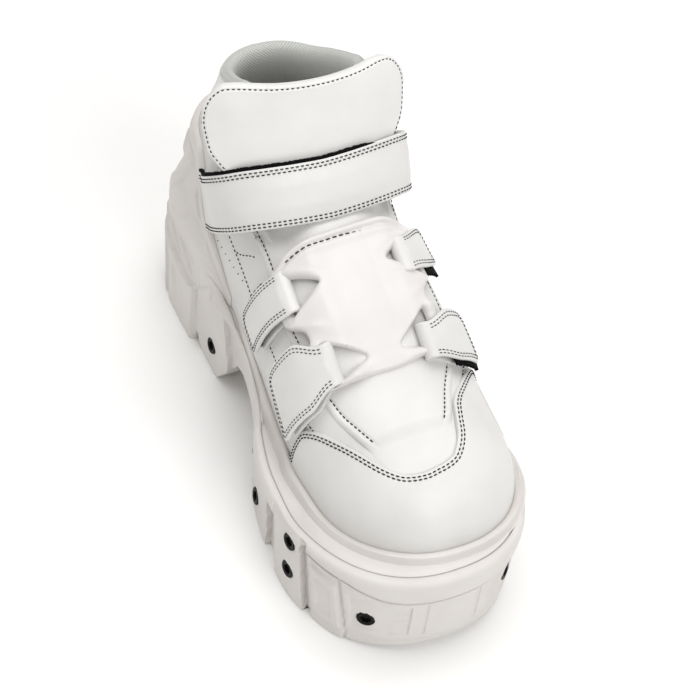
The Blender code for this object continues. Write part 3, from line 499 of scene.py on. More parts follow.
upper_outer = both_sides(lambda side: upper_half(side))
upper_inner = both_sides(lambda side: upper_half(side, -UPPER_WALL))
upper_shell = build("upper_shell", *shell_parts(upper_outer, upper_inner), leather)
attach(upper_shell, "root")
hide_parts("upper")

# ------------------------------------------------------------------ seams of the vamp and quarters
# The vamp panel is a second layer of the same leather with a soft rolled edge, laid
# over the shell from under the ankle strap to the toe, and stitched in black inside
# its edge.  A narrow strip beside it covers the quarter's edge; the quarter's
# perforations are black dots of painted shade, not cut holes.

BLACK_THREAD = (0.004, 0.004, 0.004)
STITCH_PITCH = 2.35
STITCH_LENGTH = 1.8
STITCH_RADIUS = 0.3
VAMP_BACK = 110.0
VAMP_FRONT = 251.0
VAMP_THICK = 1.5
VAMP_BASE = 0.1
VAMP_ROLL = 2.6
VAMP_SINK = 4.8
STRIP_THICK = 0.8
STRIP_BASE = 0.05

# height of the vamp panel's edge and of the strip's lower edge, on each side
VAMP_EDGE = table("station medial lateral", (
    (104.0, 113.5, 112.0), (110.0, 111.3, 110.0), (125.0, 106.4, 105.5),
    (140.0, 102.0, 101.5), (153.6, 98.5, 98.0), (167.0, 96.3, 95.5), (180.0, 92.5, 93.5),
    (193.4, 88.6, 91.5), (206.0, 86.9, 90.8), (219.0, 87.0, 90.3), (230.0, 86.4, 88.5),
    (244.0, 82.5, 83.0)))
STRIP_EDGE = table("station medial lateral", (
    (92.0, 98.8, 98.0), (112.0, 92.3, 92.0), (130.0, 86.5, 87.0), (147.0, 82.8, 85.0),
    (161.0, 81.0, 84.0), (176.0, 78.8, 83.0), (189.4, 77.2, 84.0), (198.0, 77.0, 85.5),
    (206.0, 78.0, 87.5), (214.0, 80.5, 89.0)))


def rolled(distance, radius):
    """Quarter of an ellipse: 0 at the edge, 1 from the radius on."""
    t = np.clip(np.asarray(distance, float) / radius, 0.0, 1.0)
    return np.sqrt(np.maximum(1 - (1 - t) ** 2, 0.0))


def from_line(points, line):
    """Distance of each point of a grid from a dense row of points."""
    flat = points.reshape(-1, 3)
    best = np.full(len(flat), 1e9)
    for part in np.array_split(line, max(1, len(line) // 40)):
        gap = np.linalg.norm(flat[:, None, :] - part[None, :, :], axis=2).min(axis=1)
        best = np.minimum(best, gap)
    return best.reshape(points.shape[:-1])


def both_ends(length, edge, inner):
    """Places from 0 to length, closely spaced within an edge's width of both ends."""
    close = edge * (1 - np.cos(np.linspace(0, math.pi / 2, 6)))
    count = max(2, int((length - 2 * edge) / inner))
    middle = np.linspace(edge, length - edge, count)
    return np.concatenate([close[:-1], middle, length - close[-2::-1]])


def unit(vectors):
    """Each vector over its own length."""
    return vectors / np.maximum(np.linalg.norm(vectors, axis=-1, keepdims=True), 1e-12)


def inset_row(line, normals, inset):
    """A row moved sideways over its surface: line + inset * (normal x tangent)."""
    tangent = unit(np.gradient(line, axis=0))
    return line + np.cross(normals, tangent) * inset


def stitches(rows, pitch=STITCH_PITCH, length=STITCH_LENGTH, radius=STITCH_RADIUS):
    """Short thread spindles along rows of (line, normals): at each pitch, 5 rings of
    6 corners, ring radius r sqrt(1 - x^4), the middle lifted and both ends sunk."""
    reach = np.linspace(-1, 1, 5)
    width = radius * np.sqrt(np.maximum(1 - 0.86 * reach ** 4, 0.0))
    raise_by = radius * (0.75 - 1.2 * reach ** 2)
    turn = np.arange(6) * math.pi / 3
    all_points = []
    all_quads = []
    count = 0
    for line, normals in rows:
        steps = np.linalg.norm(np.diff(line, axis=0), axis=1)
        along = np.concatenate([[0], np.cumsum(steps)])
        number = int(along[-1] / pitch)
        if number < 1:
            continue
        centre = (np.arange(number) + 0.5) * along[-1] / number
        at = centre[:, None] + reach * length / 2
        place = np.stack([np.interp(at, along, line[:, k]) for k in range(3)], axis=-1)
        up = unit(np.stack([np.interp(at, along, normals[:, k]) for k in range(3)], axis=-1))
        ahead = unit(np.gradient(place, axis=1))
        aside = unit(np.cross(up, ahead))
        ring = (place[:, :, None, :]
                + up[:, :, None, :] * (raise_by[:, None] + width[:, None] * np.sin(turn))[..., None]
                + aside[:, :, None, :] * (width[:, None] * np.cos(turn))[..., None])
        all_points.append(ring.reshape(-1, 3))
        base = count + np.arange(number)[:, None] * 30
        i, j = np.meshgrid(np.arange(4), np.arange(6), indexing="ij")
        a = (i * 6 + j).ravel()
        b = (i * 6 + (j + 1) % 6).ravel()
        sides = np.stack([a, b, b + 6, a + 6], axis=1)
        caps = np.array([[0, 5, 4, 3], [3, 2, 1, 0], [24, 25, 26, 27], [27, 28, 29, 24]])
        all_quads.append((base[:, :, None] + np.concatenate([sides, caps])[None]).reshape(-1, 4))
        count += number * 30
    return np.concatenate(all_points), np.concatenate(all_quads)


def thread_finish():
    """Twisted polyester thread: near black, with a fine diagonal sheen of strands."""
    material = bpy.data.materials.new("black_thread")
    material.use_nodes = True
    nodes = material.node_tree.nodes
    links = material.node_tree.links
    shader = nodes["Principled BSDF"]
    place = nodes.new("ShaderNodeTexCoord")
    strands = nodes.new("ShaderNodeTexWave")
    strands.inputs["Scale"].default_value = 900.0
    strands.inputs["Distortion"].default_value = 2.0
    links.new(place.outputs["Object"], strands.inputs["Vector"])
    tint = nodes.new("ShaderNodeMix")
    tint.data_type = "RGBA"
    tint.inputs["A"].default_value = (*BLACK_THREAD, 1.0)
    tint.inputs["B"].default_value = (0.018, 0.018, 0.019, 1.0)
    links.new(strands.outputs["Fac"], tint.inputs["Factor"])
    links.new(tint.outputs["Result"], shader.inputs["Base Color"])
    shader.inputs["Roughness"].default_value = 0.7
    shader.inputs["Specular IOR Level"].default_value = 0.2
    return material


thread = thread_finish()

vamp_station = VAMP_BACK + both_ends(VAMP_FRONT - VAMP_BACK, 2.0, 1.3)
vamp_share = np.linspace(-1.0, 1.0, 111)
vamp_share = np.sign(vamp_share) * (1 - (1 - np.abs(vamp_share)) ** 1.25)


def vamp_width(station, side):
    """Distance round the rib from the crest to the panel's edge on one side."""
    column = "medial" if side > 0 else "lateral"
    return across_at_height(station, smooth(VAMP_EDGE["station"], VAMP_EDGE[column], station),
                            side)


vamp_half = np.where(vamp_share[None, :] > 0, vamp_width(vamp_station, MEDIAL)[:, None],
                     -vamp_width(vamp_station, LATERAL)[:, None])
vamp_across = vamp_half * vamp_share[None, :]
vamp_grid_station = np.broadcast_to(vamp_station[:, None], vamp_across.shape)
# the panel thins away towards the toe, where it lies under the cap
vamp_fade = 1 - ease(vamp_grid_station, 217.0, 223.5)
vamp_margin = vamp_half * (1 - np.abs(vamp_share[None, :]))
vamp_end = np.minimum(vamp_grid_station - VAMP_BACK, VAMP_FRONT - vamp_grid_station)
vamp_roll = rolled(vamp_margin, VAMP_ROLL) * rolled(vamp_end, 2.0)
vamp_seam = np.exp(-((vamp_margin - 4.2) / 0.7) ** 2)
vamp_puff = np.exp(-((vamp_margin - 2.0) / 1.6) ** 2)
vamp_lift = (VAMP_BASE + VAMP_THICK * vamp_roll * (0.04 + 0.96 * vamp_fade)
             + (0.45 * vamp_puff - 0.4 * vamp_seam) * vamp_fade * vamp_roll)
# over the open throat it sinks on to the tongue, towards the ankle strap
vamp_sink = VAMP_SINK * (1 - ease(vamp_grid_station, 118.0, 140.0)) * ease(
    over_crest(vamp_grid_station, vamp_across, 0.0)[..., 2], 112.0, 121.0)
vamp_outer = over_crest(vamp_grid_station, vamp_across, vamp_lift - vamp_sink)
vamp_inner = over_crest(vamp_grid_station, vamp_across, VAMP_BASE - 0.05 - vamp_sink)
vamp_panel = build("vamp_panel", *shell_parts(vamp_outer, vamp_inner), leather)
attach(vamp_panel, "root")


def strip_grid(side):
    """Strip between the vamp panel's edge and its own lower edge, by station."""
    column = "medial" if side > 0 else "lateral"
    station = 92.0 + both_ends(214.0 - 92.0, 1.5, 1.6)
    high = smooth(VAMP_EDGE["station"], VAMP_EDGE[column], station) + 1.0
    low = smooth(STRIP_EDGE["station"], STRIP_EDGE[column], station)
    share = both_ends(1.0, 0.06, 0.1)
    height = low[:, None] + (high - low)[:, None] * share[None, :]
    at = np.broadcast_to(station[:, None], height.shape)
    margin = np.minimum(height - low[:, None], 20.0)
    end = np.minimum(at - 92.0, 214.0 - at)
    roll = rolled(margin, 1.0) * rolled(end, 1.5) * (0.08 + 0.92 * ease(214.0 - at, 0.0, 12.0))
    seam = np.exp(-((margin - 2.0) / 0.5) ** 2)
    lift = STRIP_BASE + STRIP_THICK * roll - 0.18 * seam * roll
    return (on_side(at, height, side, lift),
            on_side(at, height, side, STRIP_BASE + 0 * lift))


for side_name, side in (("medial", MEDIAL), ("lateral", LATERAL)):
    strip = build(f"quarter_strip_{side_name}", *shell_parts(*strip_grid(side)), leather)
    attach(strip, "root")


def side_row(edge, side, first, last, above, lift, count=160):
    """Row that follows an edge table at a height above it, with its normals."""
    column = "medial" if side > 0 else "lateral"
    station = np.linspace(first, last, count)
    height = smooth(edge["station"], edge[column], station) + above
    rise = rise_at_height(station, height)
    side = np.full_like(station, side)
    return lifted(station, rise, side, lift), upper_normal(station, rise, side)


def vamp_row(side, first, last, inset, count=160):
    """Row on the vamp panel at a distance inside its edge."""
    station = np.linspace(first, last, count)
    across = vamp_width(station, side) - side * inset
    side = np.full_like(station, side)
    rise = rise_across(station, across)
    return (lifted(station, rise, side, VAMP_BASE + VAMP_THICK - 0.3),
            upper_normal(station, rise, side))


seam_rows = [vamp_row(MEDIAL, 106.0, 219.5, 4.2), vamp_row(LATERAL, 106.0, 219.5, 4.2),
             side_row(STRIP_EDGE, MEDIAL, 93.5, 212.0, 1.7, STRIP_BASE + STRIP_THICK - 0.1),
             side_row(STRIP_EDGE, LATERAL, 93.5, 212.0, 1.7, STRIP_BASE + STRIP_THICK - 0.1)]
cross_station = np.linspace(102.4, 115.4, 30)
cross_height = 98.0 + 7.6 * ease(cross_station, 102.5, 117.0)
cross_rise = rise_at_height(cross_station, cross_height)
for cross_side in (np.full(30, MEDIAL), np.full(30, LATERAL)):
    seam_rows.append((lifted(cross_station, cross_rise, cross_side,
                             STRIP_BASE + STRIP_THICK - 0.1),
                      upper_normal(cross_station, cross_rise, cross_side)))
seam_stitches = build("seam_stitches", *stitches(seam_rows), thread)
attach(seam_stitches, "root")

# a row of small round perforations in each quarter, behind the strips: not cut, but black dots sunk into
# the leather, painted shade of the holes
dot_station = np.linspace(84.0, 113.0, 7)
dot_rise = rise_at_height(dot_station, 87.0 + 0.07 * (dot_station - 84.0))
dot_rows = []
for dot_side in (MEDIAL, LATERAL):
    for station, rise in zip(dot_station, dot_rise):
        at, up = np.array([station - 0.35, station + 0.35]), np.full(2, rise)
        dot_rows.append((lifted(at, up, dot_side, -0.12),
                         upper_normal(at, up, np.full(2, dot_side))))
perforations = build("quarter_perforation_shade_dots",
                     *stitches(dot_rows, pitch=0.6, length=0.7, radius=0.36), thread)
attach(perforations, "root")

# ------------------------------------------------------------------ the toe cap
# One piece of the white leather over the toe, its rear edge cut to a wave and rolled
# in, sewn down with two rows of black thread.

CAP_GAP = 0.5
CAP_THICK = 1.6
CAP_ROLL = 1.3
CAP_SEAM_INSETS = (1.7, 3.1)
CAP = table("rise medial lateral", (
    (0.0, 190.5, 187.0), (0.25, 192.6, 187.6), (0.377, 198.5, 190.0), (0.434, 202.6, 192.5),
    (0.524, 211.0, 197.0), (0.62, 221.2, 202.5), (0.70, 230.8, 207.5), (0.76, 235.8, 213.0),
    (0.80, 237.7, 219.5), (0.84, 238.7, 227.6), (0.88, 239.3, 232.6), (0.93, 239.6, 236.6),
    (1.0, 238.7, 238.7)))


def cap_edge(turn):
    """Station of the rear edge; turn runs from -1 at the lateral foot over 0 on the
    crest to 1 at the medial foot."""
    rise = 1 - np.abs(turn)
    return np.where(turn > 0, smooth(CAP["rise"], CAP["medial"], rise),
                    smooth(CAP["rise"], CAP["lateral"], rise))


def cap_lift(distance):
    """The cap's face: a rolled edge, then dips under each row of stitches."""
    dips = sum(np.exp(-((distance - inset) / 0.45) ** 2) for inset in CAP_SEAM_INSETS)
    return CAP_GAP + CAP_THICK * rolled(distance, CAP_ROLL) - 0.16 * dips


cap_turn = np.linspace(-1.0, 1.0, 221)
cap_close = np.concatenate([CAP_ROLL * (1 - np.cos(np.linspace(0, math.pi / 2, 6))),
                            np.arange(1.6, 6.0, 0.35)])
cap_far = 1 - (1 - np.linspace(0.0, 1.0, 64)) ** 2.0
cap_start = cap_edge(cap_turn)
cap_station = np.concatenate([
    cap_start[:, None] + cap_close[None, :],
    (cap_start + 6.2)[:, None] + (UPPER_FRONT - 0.02 - cap_start - 6.2)[:, None] * cap_far],
    axis=1)
cap_side = np.broadcast_to(np.where(cap_turn > 0, MEDIAL, LATERAL)[:, None], cap_station.shape)
cap_rise = np.broadcast_to(np.maximum(1 - np.abs(cap_turn), 0.004)[:, None], cap_station.shape)
cap_base = lifted(cap_station, cap_rise, cap_side, CAP_GAP)
cap_distance = from_line(cap_base, cap_base[:, 0])
cap_distance[:, 0] = 0.0
cap_outer = lifted(cap_station, cap_rise, cap_side, cap_lift(cap_distance))
toe_cap_leather = build("toe_cap_leather", *shell_parts(cap_outer, cap_base), leather)
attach(toe_cap_leather, "root")
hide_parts("toe_cap")

cap_line_turn = np.linspace(-0.97, 0.97, 400)
cap_line_station = cap_edge(cap_line_turn)
cap_line_side = np.where(cap_line_turn > 0, MEDIAL, LATERAL)
cap_line_rise = 1 - np.abs(cap_line_turn)
cap_line = lifted(cap_line_station, cap_line_rise, cap_line_side, CAP_GAP + CAP_THICK - 0.12)
cap_line_up = upper_normal(cap_line_station, cap_line_rise, cap_line_side)
cap_rows = [(inset_row(cap_line, cap_line_up, -inset), cap_line_up)
            for inset in CAP_SEAM_INSETS]
cap_stitches = build("toe_cap_stitches", *stitches(cap_rows), thread)
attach(cap_stitches, "root")

# ------------------------------------------------------------------ the heel cup
# A moulded cup of the sole's white rubber, bonded round the heel on the rim, with a
# raised band along its upper edge and slanting ribs down each side.

CUP_GAP = 0.1
CUP_FRONT = 104.0
CUP_TOP_THICK = 1.8
CUP_FRONT_THICK = 0.9
CUP_BAND = (6.5, 7.4)
CUP_GROOVE = (8.4, 0.85, 1.5)
CUP_RIB_PITCH = 17.0
CUP_RIB_SLANT = 0.55
CUP_RIB_HIGH = 1.1
HEEL_TAPER = 0.3
WHITE_RUBBER = (0.70, 0.672, 0.65)
RUBBER_SHADE = (0.66, 0.63, 0.605)
CUP = table("station height", (
    (8.0, 112.0), (30.0, 115.0), (44.0, 116.0), (54.0, 110.0), (67.0, 95.5),
    (82.0, 82.5), (104.0, 67.5)))
rubber = coated("white_moulded_rubber", WHITE_RUBBER, RUBBER_SHADE, 0.5, 0.0006, 0.25,
                0.00004)


def wall_width(station, side):
    """Half width of the sole's wall: the table times the two rounded ends."""
    full = np.where(np.asarray(side, float) > 0,
                    smooth(WALL["station"], WALL["medial"], station),
                    smooth(WALL["station"], WALL["lateral"], station))
    toe_round = np.where(np.asarray(side, float) > 0, 66.0, 76.0)
    return (full * rounded_end(SOLE_LENGTH - np.asarray(station, float), toe_round, 2.3)
            * rounded_end(station, 44.0, 2.5))


def cup_half(side):
    """Outer face: thick at the foot, thinner at the top and to the front, plus the
    band, the groove under it and the ribs, all by distance below the edge."""
    turn = np.linspace(0.0, math.pi, 110)
    station = UPPER_BACK + 0.02 + (CUP_FRONT - UPPER_BACK) * (1 - np.cos(turn * 0.72)) / (
        1 - math.cos(math.pi * 0.72))
    share = 1 - both_ends(1.0, 0.05, 0.016)[::-1]
    share = np.sort(share)[:, None]
    edge = smooth(CUP["station"], CUP["height"], station)
    foot = feather_height(station)
    rise = rise_at_height(station, foot + 0.05 + (edge - foot - 0.05) * share)
    point = upper_point(station, rise, side)
    fade = 1 - ease(station, 70.0, CUP_FRONT)
    at_foot = side * upper_point(station, 0.0, side)[:, 1]
    low = np.clip(wall_width(station, side) - 1.1 - at_foot, 3.0,
                  7.0 + 1.6 * ease(station, 12.0, 36.0))
    low = CUP_FRONT_THICK + (low - CUP_FRONT_THICK) * fade
    high = CUP_FRONT_THICK + (CUP_TOP_THICK - CUP_FRONT_THICK) * fade
    thick = low + (high - low) * ease(share, 0.0, 0.38)
    below = edge - point[..., 2]
    band = 1 - ease(below, *CUP_BAND)
    groove_at, groove_width, groove_depth = CUP_GROOVE
    groove = groove_depth * np.exp(-((below - groove_at) / groove_width) ** 2)
    slant = (point[..., 0] + CUP_RIB_SLANT * below) / CUP_RIB_PITCH
    ribs = ease(np.abs((slant % 1.0) - 0.5), 0.16, 0.32)
    ribs = ribs * ease(below, 11.0, 12.5) * ease(point[..., 2] - foot, 2.5, 5.0) * fade
    ribs = ribs * ease(station, 16.0, 24.0)
    thick = thick + (band - groove) * fade + CUP_RIB_HIGH * ribs
    thick = thick * (0.15 + 0.85 * rolled(below, 1.2) * rolled(CUP_FRONT - station, 1.5))
    lift = CUP_GAP + thick
    grid = lifted(station[None, :] + 0 * rise, rise, side, lift)
    inner = lifted(station[None, :] + 0 * rise, rise, side, CUP_GAP)
    grid[:, 0, 1] = 0.0
    inner[:, 0, 1] = 0.0
    grid[0, :, 2] = shelf_height(station) - 2.2 * fade
    inner[0, :, 2] = shelf_height(station) + 0.4
    return grid, inner


heel_cup = build("heel_cup", *shell_parts(both_sides(lambda side: cup_half(side)[0]),
                                          both_sides(lambda side: cup_half(side)[1])),
                 rubber, 40.0)
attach(heel_cup, "root")
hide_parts("heel_counter")

# ------------------------------------------------------------------ collar lining and footbed
# Grey-white spacer mesh over soft foam: it rolls over the collar's edge, swells under
# it and runs down to the footbed, which is foam under the same mesh, glued in.

LINING_GREY = (0.76, 0.775, 0.74)
# colour inside the mesh's open cells: painted shade of the holes
LINING_HOLE_SHADE = (0.57, 0.585, 0.55)
LINING_FRONT = 112.0
# along the lining from the collar's edge: drop below the edge, distance inwards
LINING = table("along drop inward", (
    (0.0, 1.0, -0.15), (1.0, -0.8, 0.1), (2.0, -2.4, 1.3), (3.0, -3.0, 3.2), (4.0, -2.4, 5.2),
    (5.0, 0.0, 7.2), (6.0, 5.0, 8.8), (7.0, 13.0, 9.6), (8.0, 22.0, 9.0), (9.0, 32.0, 7.0),
    (10.0, 46.0, 5.0), (11.0, 62.0, 4.2)))


def mesh_fabric():
    """Spacer mesh: a regular Voronoi grid, turned 45 degrees on the piece's own UV, makes
    rows of small open cells, sunk there and darker inside them with painted shade."""
    material = bpy.data.materials.new("lining_mesh")
    material.use_nodes = True
    nodes = material.node_tree.nodes
    links = material.node_tree.links
    shader = nodes["Principled BSDF"]
    place = nodes.new("ShaderNodeUVMap")
    place.uv_map = "weave"
    turned = nodes.new("ShaderNodeMapping")
    turned.inputs["Rotation"].default_value = (0.0, 0.0, math.radians(45))
    links.new(place.outputs["UV"], turned.inputs["Vector"])
    cells = nodes.new("ShaderNodeTexVoronoi")
    cells.feature = "F1"
    cells.inputs["Scale"].default_value = 0.95
    cells.inputs["Randomness"].default_value = 0.0
    links.new(turned.outputs["Vector"], cells.inputs["Vector"])
    hole = nodes.new("ShaderNodeMapRange")
    hole.interpolation_type = "SMOOTHSTEP"
    hole.inputs["From Min"].default_value = 0.18
    hole.inputs["From Max"].default_value = 0.46
    links.new(cells.outputs["Distance"], hole.inputs["Value"])
    tint = nodes.new("ShaderNodeMix")
    tint.data_type = "RGBA"
    tint.inputs["A"].default_value = (*LINING_HOLE_SHADE, 1.0)
    tint.inputs["B"].default_value = (*LINING_GREY, 1.0)
    links.new(hole.outputs["Result"], tint.inputs["Factor"])
    links.new(tint.outputs["Result"], shader.inputs["Base Color"])
    bump = nodes.new("ShaderNodeBump")
    bump.inputs["Distance"].default_value = 0.0005
    links.new(hole.outputs["Result"], bump.inputs["Height"])
    links.new(bump.outputs["Normal"], shader.inputs["Normal"])
    shader.inputs["Roughness"].default_value = 0.85
    shader.inputs["Sheen Weight"].default_value = 0.3
    return material


lining_fabric = mesh_fabric()


def lining_half(side):
    """Rows by the along table, at ribs from the heel to the throat; lower rows stop
    at the footbed's height."""
    turn = np.linspace(0.0, 1.0, 120)
    station = UPPER_BACK + 0.02 + (LINING_FRONT - UPPER_BACK) * turn ** 1.6
    along = np.concatenate([np.linspace(0.0, 6.0, 40), np.linspace(6.2, 11.0, 30)])[:, None]
    drop = smooth(LINING["along"], LINING["drop"], along)
    inward = smooth(LINING["along"], LINING["inward"], along)
    edge = collar_height(station)
    floor_level = feather_height(station) + 3.0
    depth = np.maximum(edge - floor_level, 1.0)
    height = edge - drop * np.where(drop > 0, np.minimum(depth / 62.0, 1.0), 1.0)
    height = np.maximum(height, floor_level)
    front = 1 - ease(station, 92.0, LINING_FRONT)
    inward = inward * (0.45 + 0.55 * front)
    outer = on_side(station[None, :] + 0 * height, height, side, -inward)
    inner = on_side(station[None, :] + 0 * height, height, side,
                    -np.minimum(inward * 0.55 + 0.4, 3.2))
    outer[:, 0, 1] = 0.0
    inner[:, 0, 1] = 0.0
    return outer, inner


lining_outer = both_sides(lambda side: lining_half(side)[0])
lining_inner = both_sides(lambda side: lining_half(side)[1])


def weave_place(outer):
    """Place in the weave for both grids of a shell: distance run along the rows, from
    their middle, and down the columns, in millimetres."""
    rows, columns = outer.shape[:2]
    down = np.concatenate([np.zeros((1, columns)), np.cumsum(
        np.linalg.norm(np.diff(outer, axis=0), axis=2), axis=0)])
    across = np.concatenate([np.zeros((rows, 1)), np.cumsum(
        np.linalg.norm(np.diff(outer, axis=1), axis=2), axis=1)], axis=1)
    across = across - across[:, columns // 2][:, None]
    place = np.stack([across, down, np.zeros_like(down)], axis=-1).reshape(-1, 3)
    return np.concatenate([place, place])


collar_lining = build("collar_lining", *shell_parts(lining_outer, lining_inner), lining_fabric,
                      weave=weave_place(lining_outer))
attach(collar_lining, "root")


def footbed_half(side):
    """Flat sheet inside the foot of the upper, cupped up 3 mm at its rim."""
    turn = np.linspace(0.0, math.pi, 90)
    station = UPPER_BACK + 1.0 + (UPPER_FRONT - 3.5 - UPPER_BACK) * (1 - np.cos(turn)) / 2
    edge = lifted(station, 0.02, side, -4.6)
    middle = smooth(LAST["station"], LAST["swing"], edge[:, 0])
    across = np.maximum(side * (edge[:, 1] - middle), 0.0) * side
    across[[0, -1]] = 0.0
    share = np.linspace(0.0, 1.0, 26)[:, None]
    height = feather_height(edge[:, 0]) + 3.4 + 2.0 * ease(share, 0.7, 1.0) * np.ones(90)
    top = np.stack([edge[:, 0] + 0 * share, middle + across * share, height], axis=-1)
    low = top.copy()
    low[..., 2] = feather_height(edge[:, 0]) + 0.4
    return top, low


footbed_top, footbed_low = (np.concatenate([far[::-1], near[1:]], axis=0)
                            for far, near in zip(footbed_half(LATERAL), footbed_half(MEDIAL)))
footbed = build("footbed", *shell_parts(footbed_top, footbed_low), lining_fabric,
                weave=weave_place(footbed_top))
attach(footbed, "root")
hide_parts("insole")

# ------------------------------------------------------------------ the tongue
# A broad padded tongue in a softer white leather whose colour is painted lighter, for the
# brighter light on it, foam inside, with a fat rolled edge and one row of black stitches
# inside it.  Its outer top corner stands higher.

TONGUE_THICK = 6.0
TONGUE_FACE = -4.9
TONGUE_BEND = 13.0
TONGUE_WING = 46.0
TONGUE_SEAM = 1.5
TONGUE_EDGE_ROLL = 1.6
TONGUE_MEDIAL_SHARE = 1.045
TONGUE_LATERAL_SHARE = 1.02
TONGUE = table("crest half free station height", (
    (174.0, 19.0, 0.0, 174.0, 104.0), (163.0, 22.0, 0.0, 163.0, 112.0),
    (152.0, 23.0, 0.0, 152.0, 116.0), (142.0, 23.0, 0.0, 142.0, 118.0),
    (132.0, 23.0, 0.0, 132.0, 121.0), (124.0, 23.0, 0.1, 122.0, 126.5),
    (117.0, 26.0, 0.35, 115.0, 132.5), (112.0, 34.0, 0.65, 109.5, 139.5),
    (108.0, 41.5, 0.9, 106.0, 146.5), (105.0, 45.0, 1.0, 103.0, 153.0),
    (101.0, 46.0, 1.0, 100.0, 161.0), (97.0, 46.5, 1.0, 97.0, 169.0),
    (94.0, 46.0, 1.0, 94.5, 176.0), (91.0, 45.0, 1.0, 92.5, 181.0),
    (88.0, 44.5, 1.0, 90.6, 188.0)))
# height of the tongue's top edge across it, from the lateral edge to the medial edge
TONGUE_TOP = table("share height", (
    (-1.0, 163.0), (-0.985, 168.5), (-0.94, 174.5), (-0.87, 179.5), (-0.78, 182.0),
    (-0.66, 182.8), (-0.5, 182.6), (-0.3, 182.8), (0.0, 183.2), (0.35, 183.6),
    (0.66, 184.2), (0.82, 183.4), (0.91, 179.5), (0.97, 173.0), (1.0, 165.0)))


def tongue_surface():
    """Middle layer of the tongue.  Each row blends a place under the leg's form with
    its own free place: bent back by 13 (w/46)^2 at a width w."""
    knots = np.arange(len(TONGUE["crest"]), dtype=float)
    share = np.linspace(-1.0, 1.0, 121)
    share = np.sign(share) * (1 - (1 - np.abs(share)) ** 1.35)
    top = np.interp(smooth(TONGUE_TOP["share"], TONGUE_TOP["height"], share),
                    TONGUE["height"], knots)
    along = 1 - (1 - np.linspace(0.0, 1.0, 130)) ** 1.3
    at = along[:, None] * top[None, :]
    crest = smooth(knots, TONGUE["crest"], at)
    half = smooth(knots, TONGUE["half"], at)
    free = smooth(knots, TONGUE["free"], at)[..., None]
    station = smooth(knots, TONGUE["station"], at)
    height = smooth(knots, TONGUE["height"], at)
    across = share[None, :] * half * np.where(share > 0, TONGUE_MEDIAL_SHARE,
                                              TONGUE_LATERAL_SHARE)
    on_leg = over_crest(crest, across, TONGUE_FACE - TONGUE_THICK / 2)
    bend = TONGUE_BEND * (across / TONGUE_WING) ** 2
    loose = np.stack([station - bend - 2.6, across, height - 1.4], axis=-1)
    return on_leg * (1 - free) + loose * free


def grid_normals(points):
    """Unit cross product of the differences along both directions of a grid."""
    return unit(np.cross(np.gradient(points, axis=0), np.gradient(points, axis=1)))


# Softer, duller leather for the tongue; its colour is lighter than the coated leather's, painted light
# for the brighter light on the tongue.
soft_leather_painted_light = coated("soft_white_leather_painted_light", (0.82, 0.815, 0.80), (0.77, 0.763, 0.745), 0.5,
                      0.0006, 0.25, 0.00004)
tongue_middle = tongue_surface()
tongue_up = grid_normals(tongue_middle)
if tongue_up[90, 60, 0] < 0:
    tongue_up = -tongue_up
tongue_border = np.concatenate([tongue_middle[:, 0], tongue_middle[-1],
                                tongue_middle[::-1, -1]])
tongue_margin = from_line(tongue_middle, tongue_border)
tongue_swell = (TONGUE_THICK / 2) * rolled(tongue_margin, TONGUE_EDGE_ROLL)
tongue_dip = 0.55 * np.exp(-((tongue_margin - TONGUE_SEAM) / 0.6) ** 2)
tongue_crown = 1.1 * ease(tongue_margin, TONGUE_SEAM, 20.0)
tongue_outer = tongue_middle + tongue_up * (tongue_swell - tongue_dip + tongue_crown)[..., None]
tongue_back = tongue_middle - tongue_up * tongue_swell[..., None]
tongue_pad = build("tongue_pad", *shell_parts(tongue_outer, tongue_back), soft_leather_painted_light)
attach(tongue_pad, "root")
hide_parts("tongue")


def even_row(line, up, step=0.6):
    """Row and its normals laid out again at even steps of length."""
    length = np.concatenate([[0], np.cumsum(np.linalg.norm(np.diff(line, axis=0), axis=1))])
    at = np.linspace(0, length[-1], max(3, int(length[-1] / step)))
    return (np.stack([np.interp(at, length, line[:, k]) for k in range(3)], axis=1),
            unit(np.stack([np.interp(at, length, up[:, k]) for k in range(3)], axis=1)))


tongue_edge, tongue_edge_up = even_row(
    np.concatenate([tongue_middle[40:, 0], tongue_middle[-1, 1:-1], tongue_middle[:39:-1, -1]]),
    np.concatenate([tongue_up[40:, 2], tongue_up[-3, 1:-1], tongue_up[:39:-1, -3]]))
tongue_row = inset_row(tongue_edge, tongue_edge_up, -TONGUE_SEAM)
if np.linalg.norm(tongue_row - tongue_middle[90, 60], axis=1).mean() > np.linalg.norm(
        tongue_edge - tongue_middle[90, 60], axis=1).mean():
    tongue_row = inset_row(tongue_edge, tongue_edge_up, TONGUE_SEAM)
for _ in range(12):
    tongue_row[1:-1] = (tongue_row[:-2] + 2 * tongue_row[1:-1] + tongue_row[2:]) / 4
tongue_row = tongue_row + tongue_edge_up * (TONGUE_THICK / 2 - 0.65)
tongue_stitches = build("tongue_stitches", *stitches(
    [even_row(tongue_row, tongue_edge_up)]), thread)
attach(tongue_stitches, "root")

# ------------------------------------------------------------------ the saddle
# A soft moulded saddle of white rubber over the instep: four arms end in bars that
# the straps fold round, each behind a triangular slot, with ribs beside the slots.

SADDLE_LOW = 0.4
SADDLE_HIGH = 3.5
SADDLE_THICK = 2.8
SADDLE_STEP = 0.62
SADDLE_ROUND = 2.2
SADDLE_SEAM = 3.8
SADDLE_WHITE = (0.75, 0.73, 0.72)
SADDLE_SHADE = (0.72, 0.695, 0.685)
SADDLE_HALF = (
    (128.6, 0.0), (128.6, 12.0), (129.0, 22.0), (130.6, 30.0), (133.8, 35.4), (138.0, 37.6),
    (146.0, 38.2), (154.0, 38.2), (159.0, 37.0), (162.4, 33.2), (165.6, 29.8), (169.0, 28.6),
    (172.6, 30.2), (176.0, 32.0), (182.0, 32.6), (188.0, 32.0), (190.6, 29.6), (191.8, 25.0),
    (192.4, 18.0), (192.8, 9.0), (193.0, 0.0))
# the lateral half sits a little further back and is a little shorter
LATERAL_SHIFT = 2.6
LATERAL_SHARE = 0.89
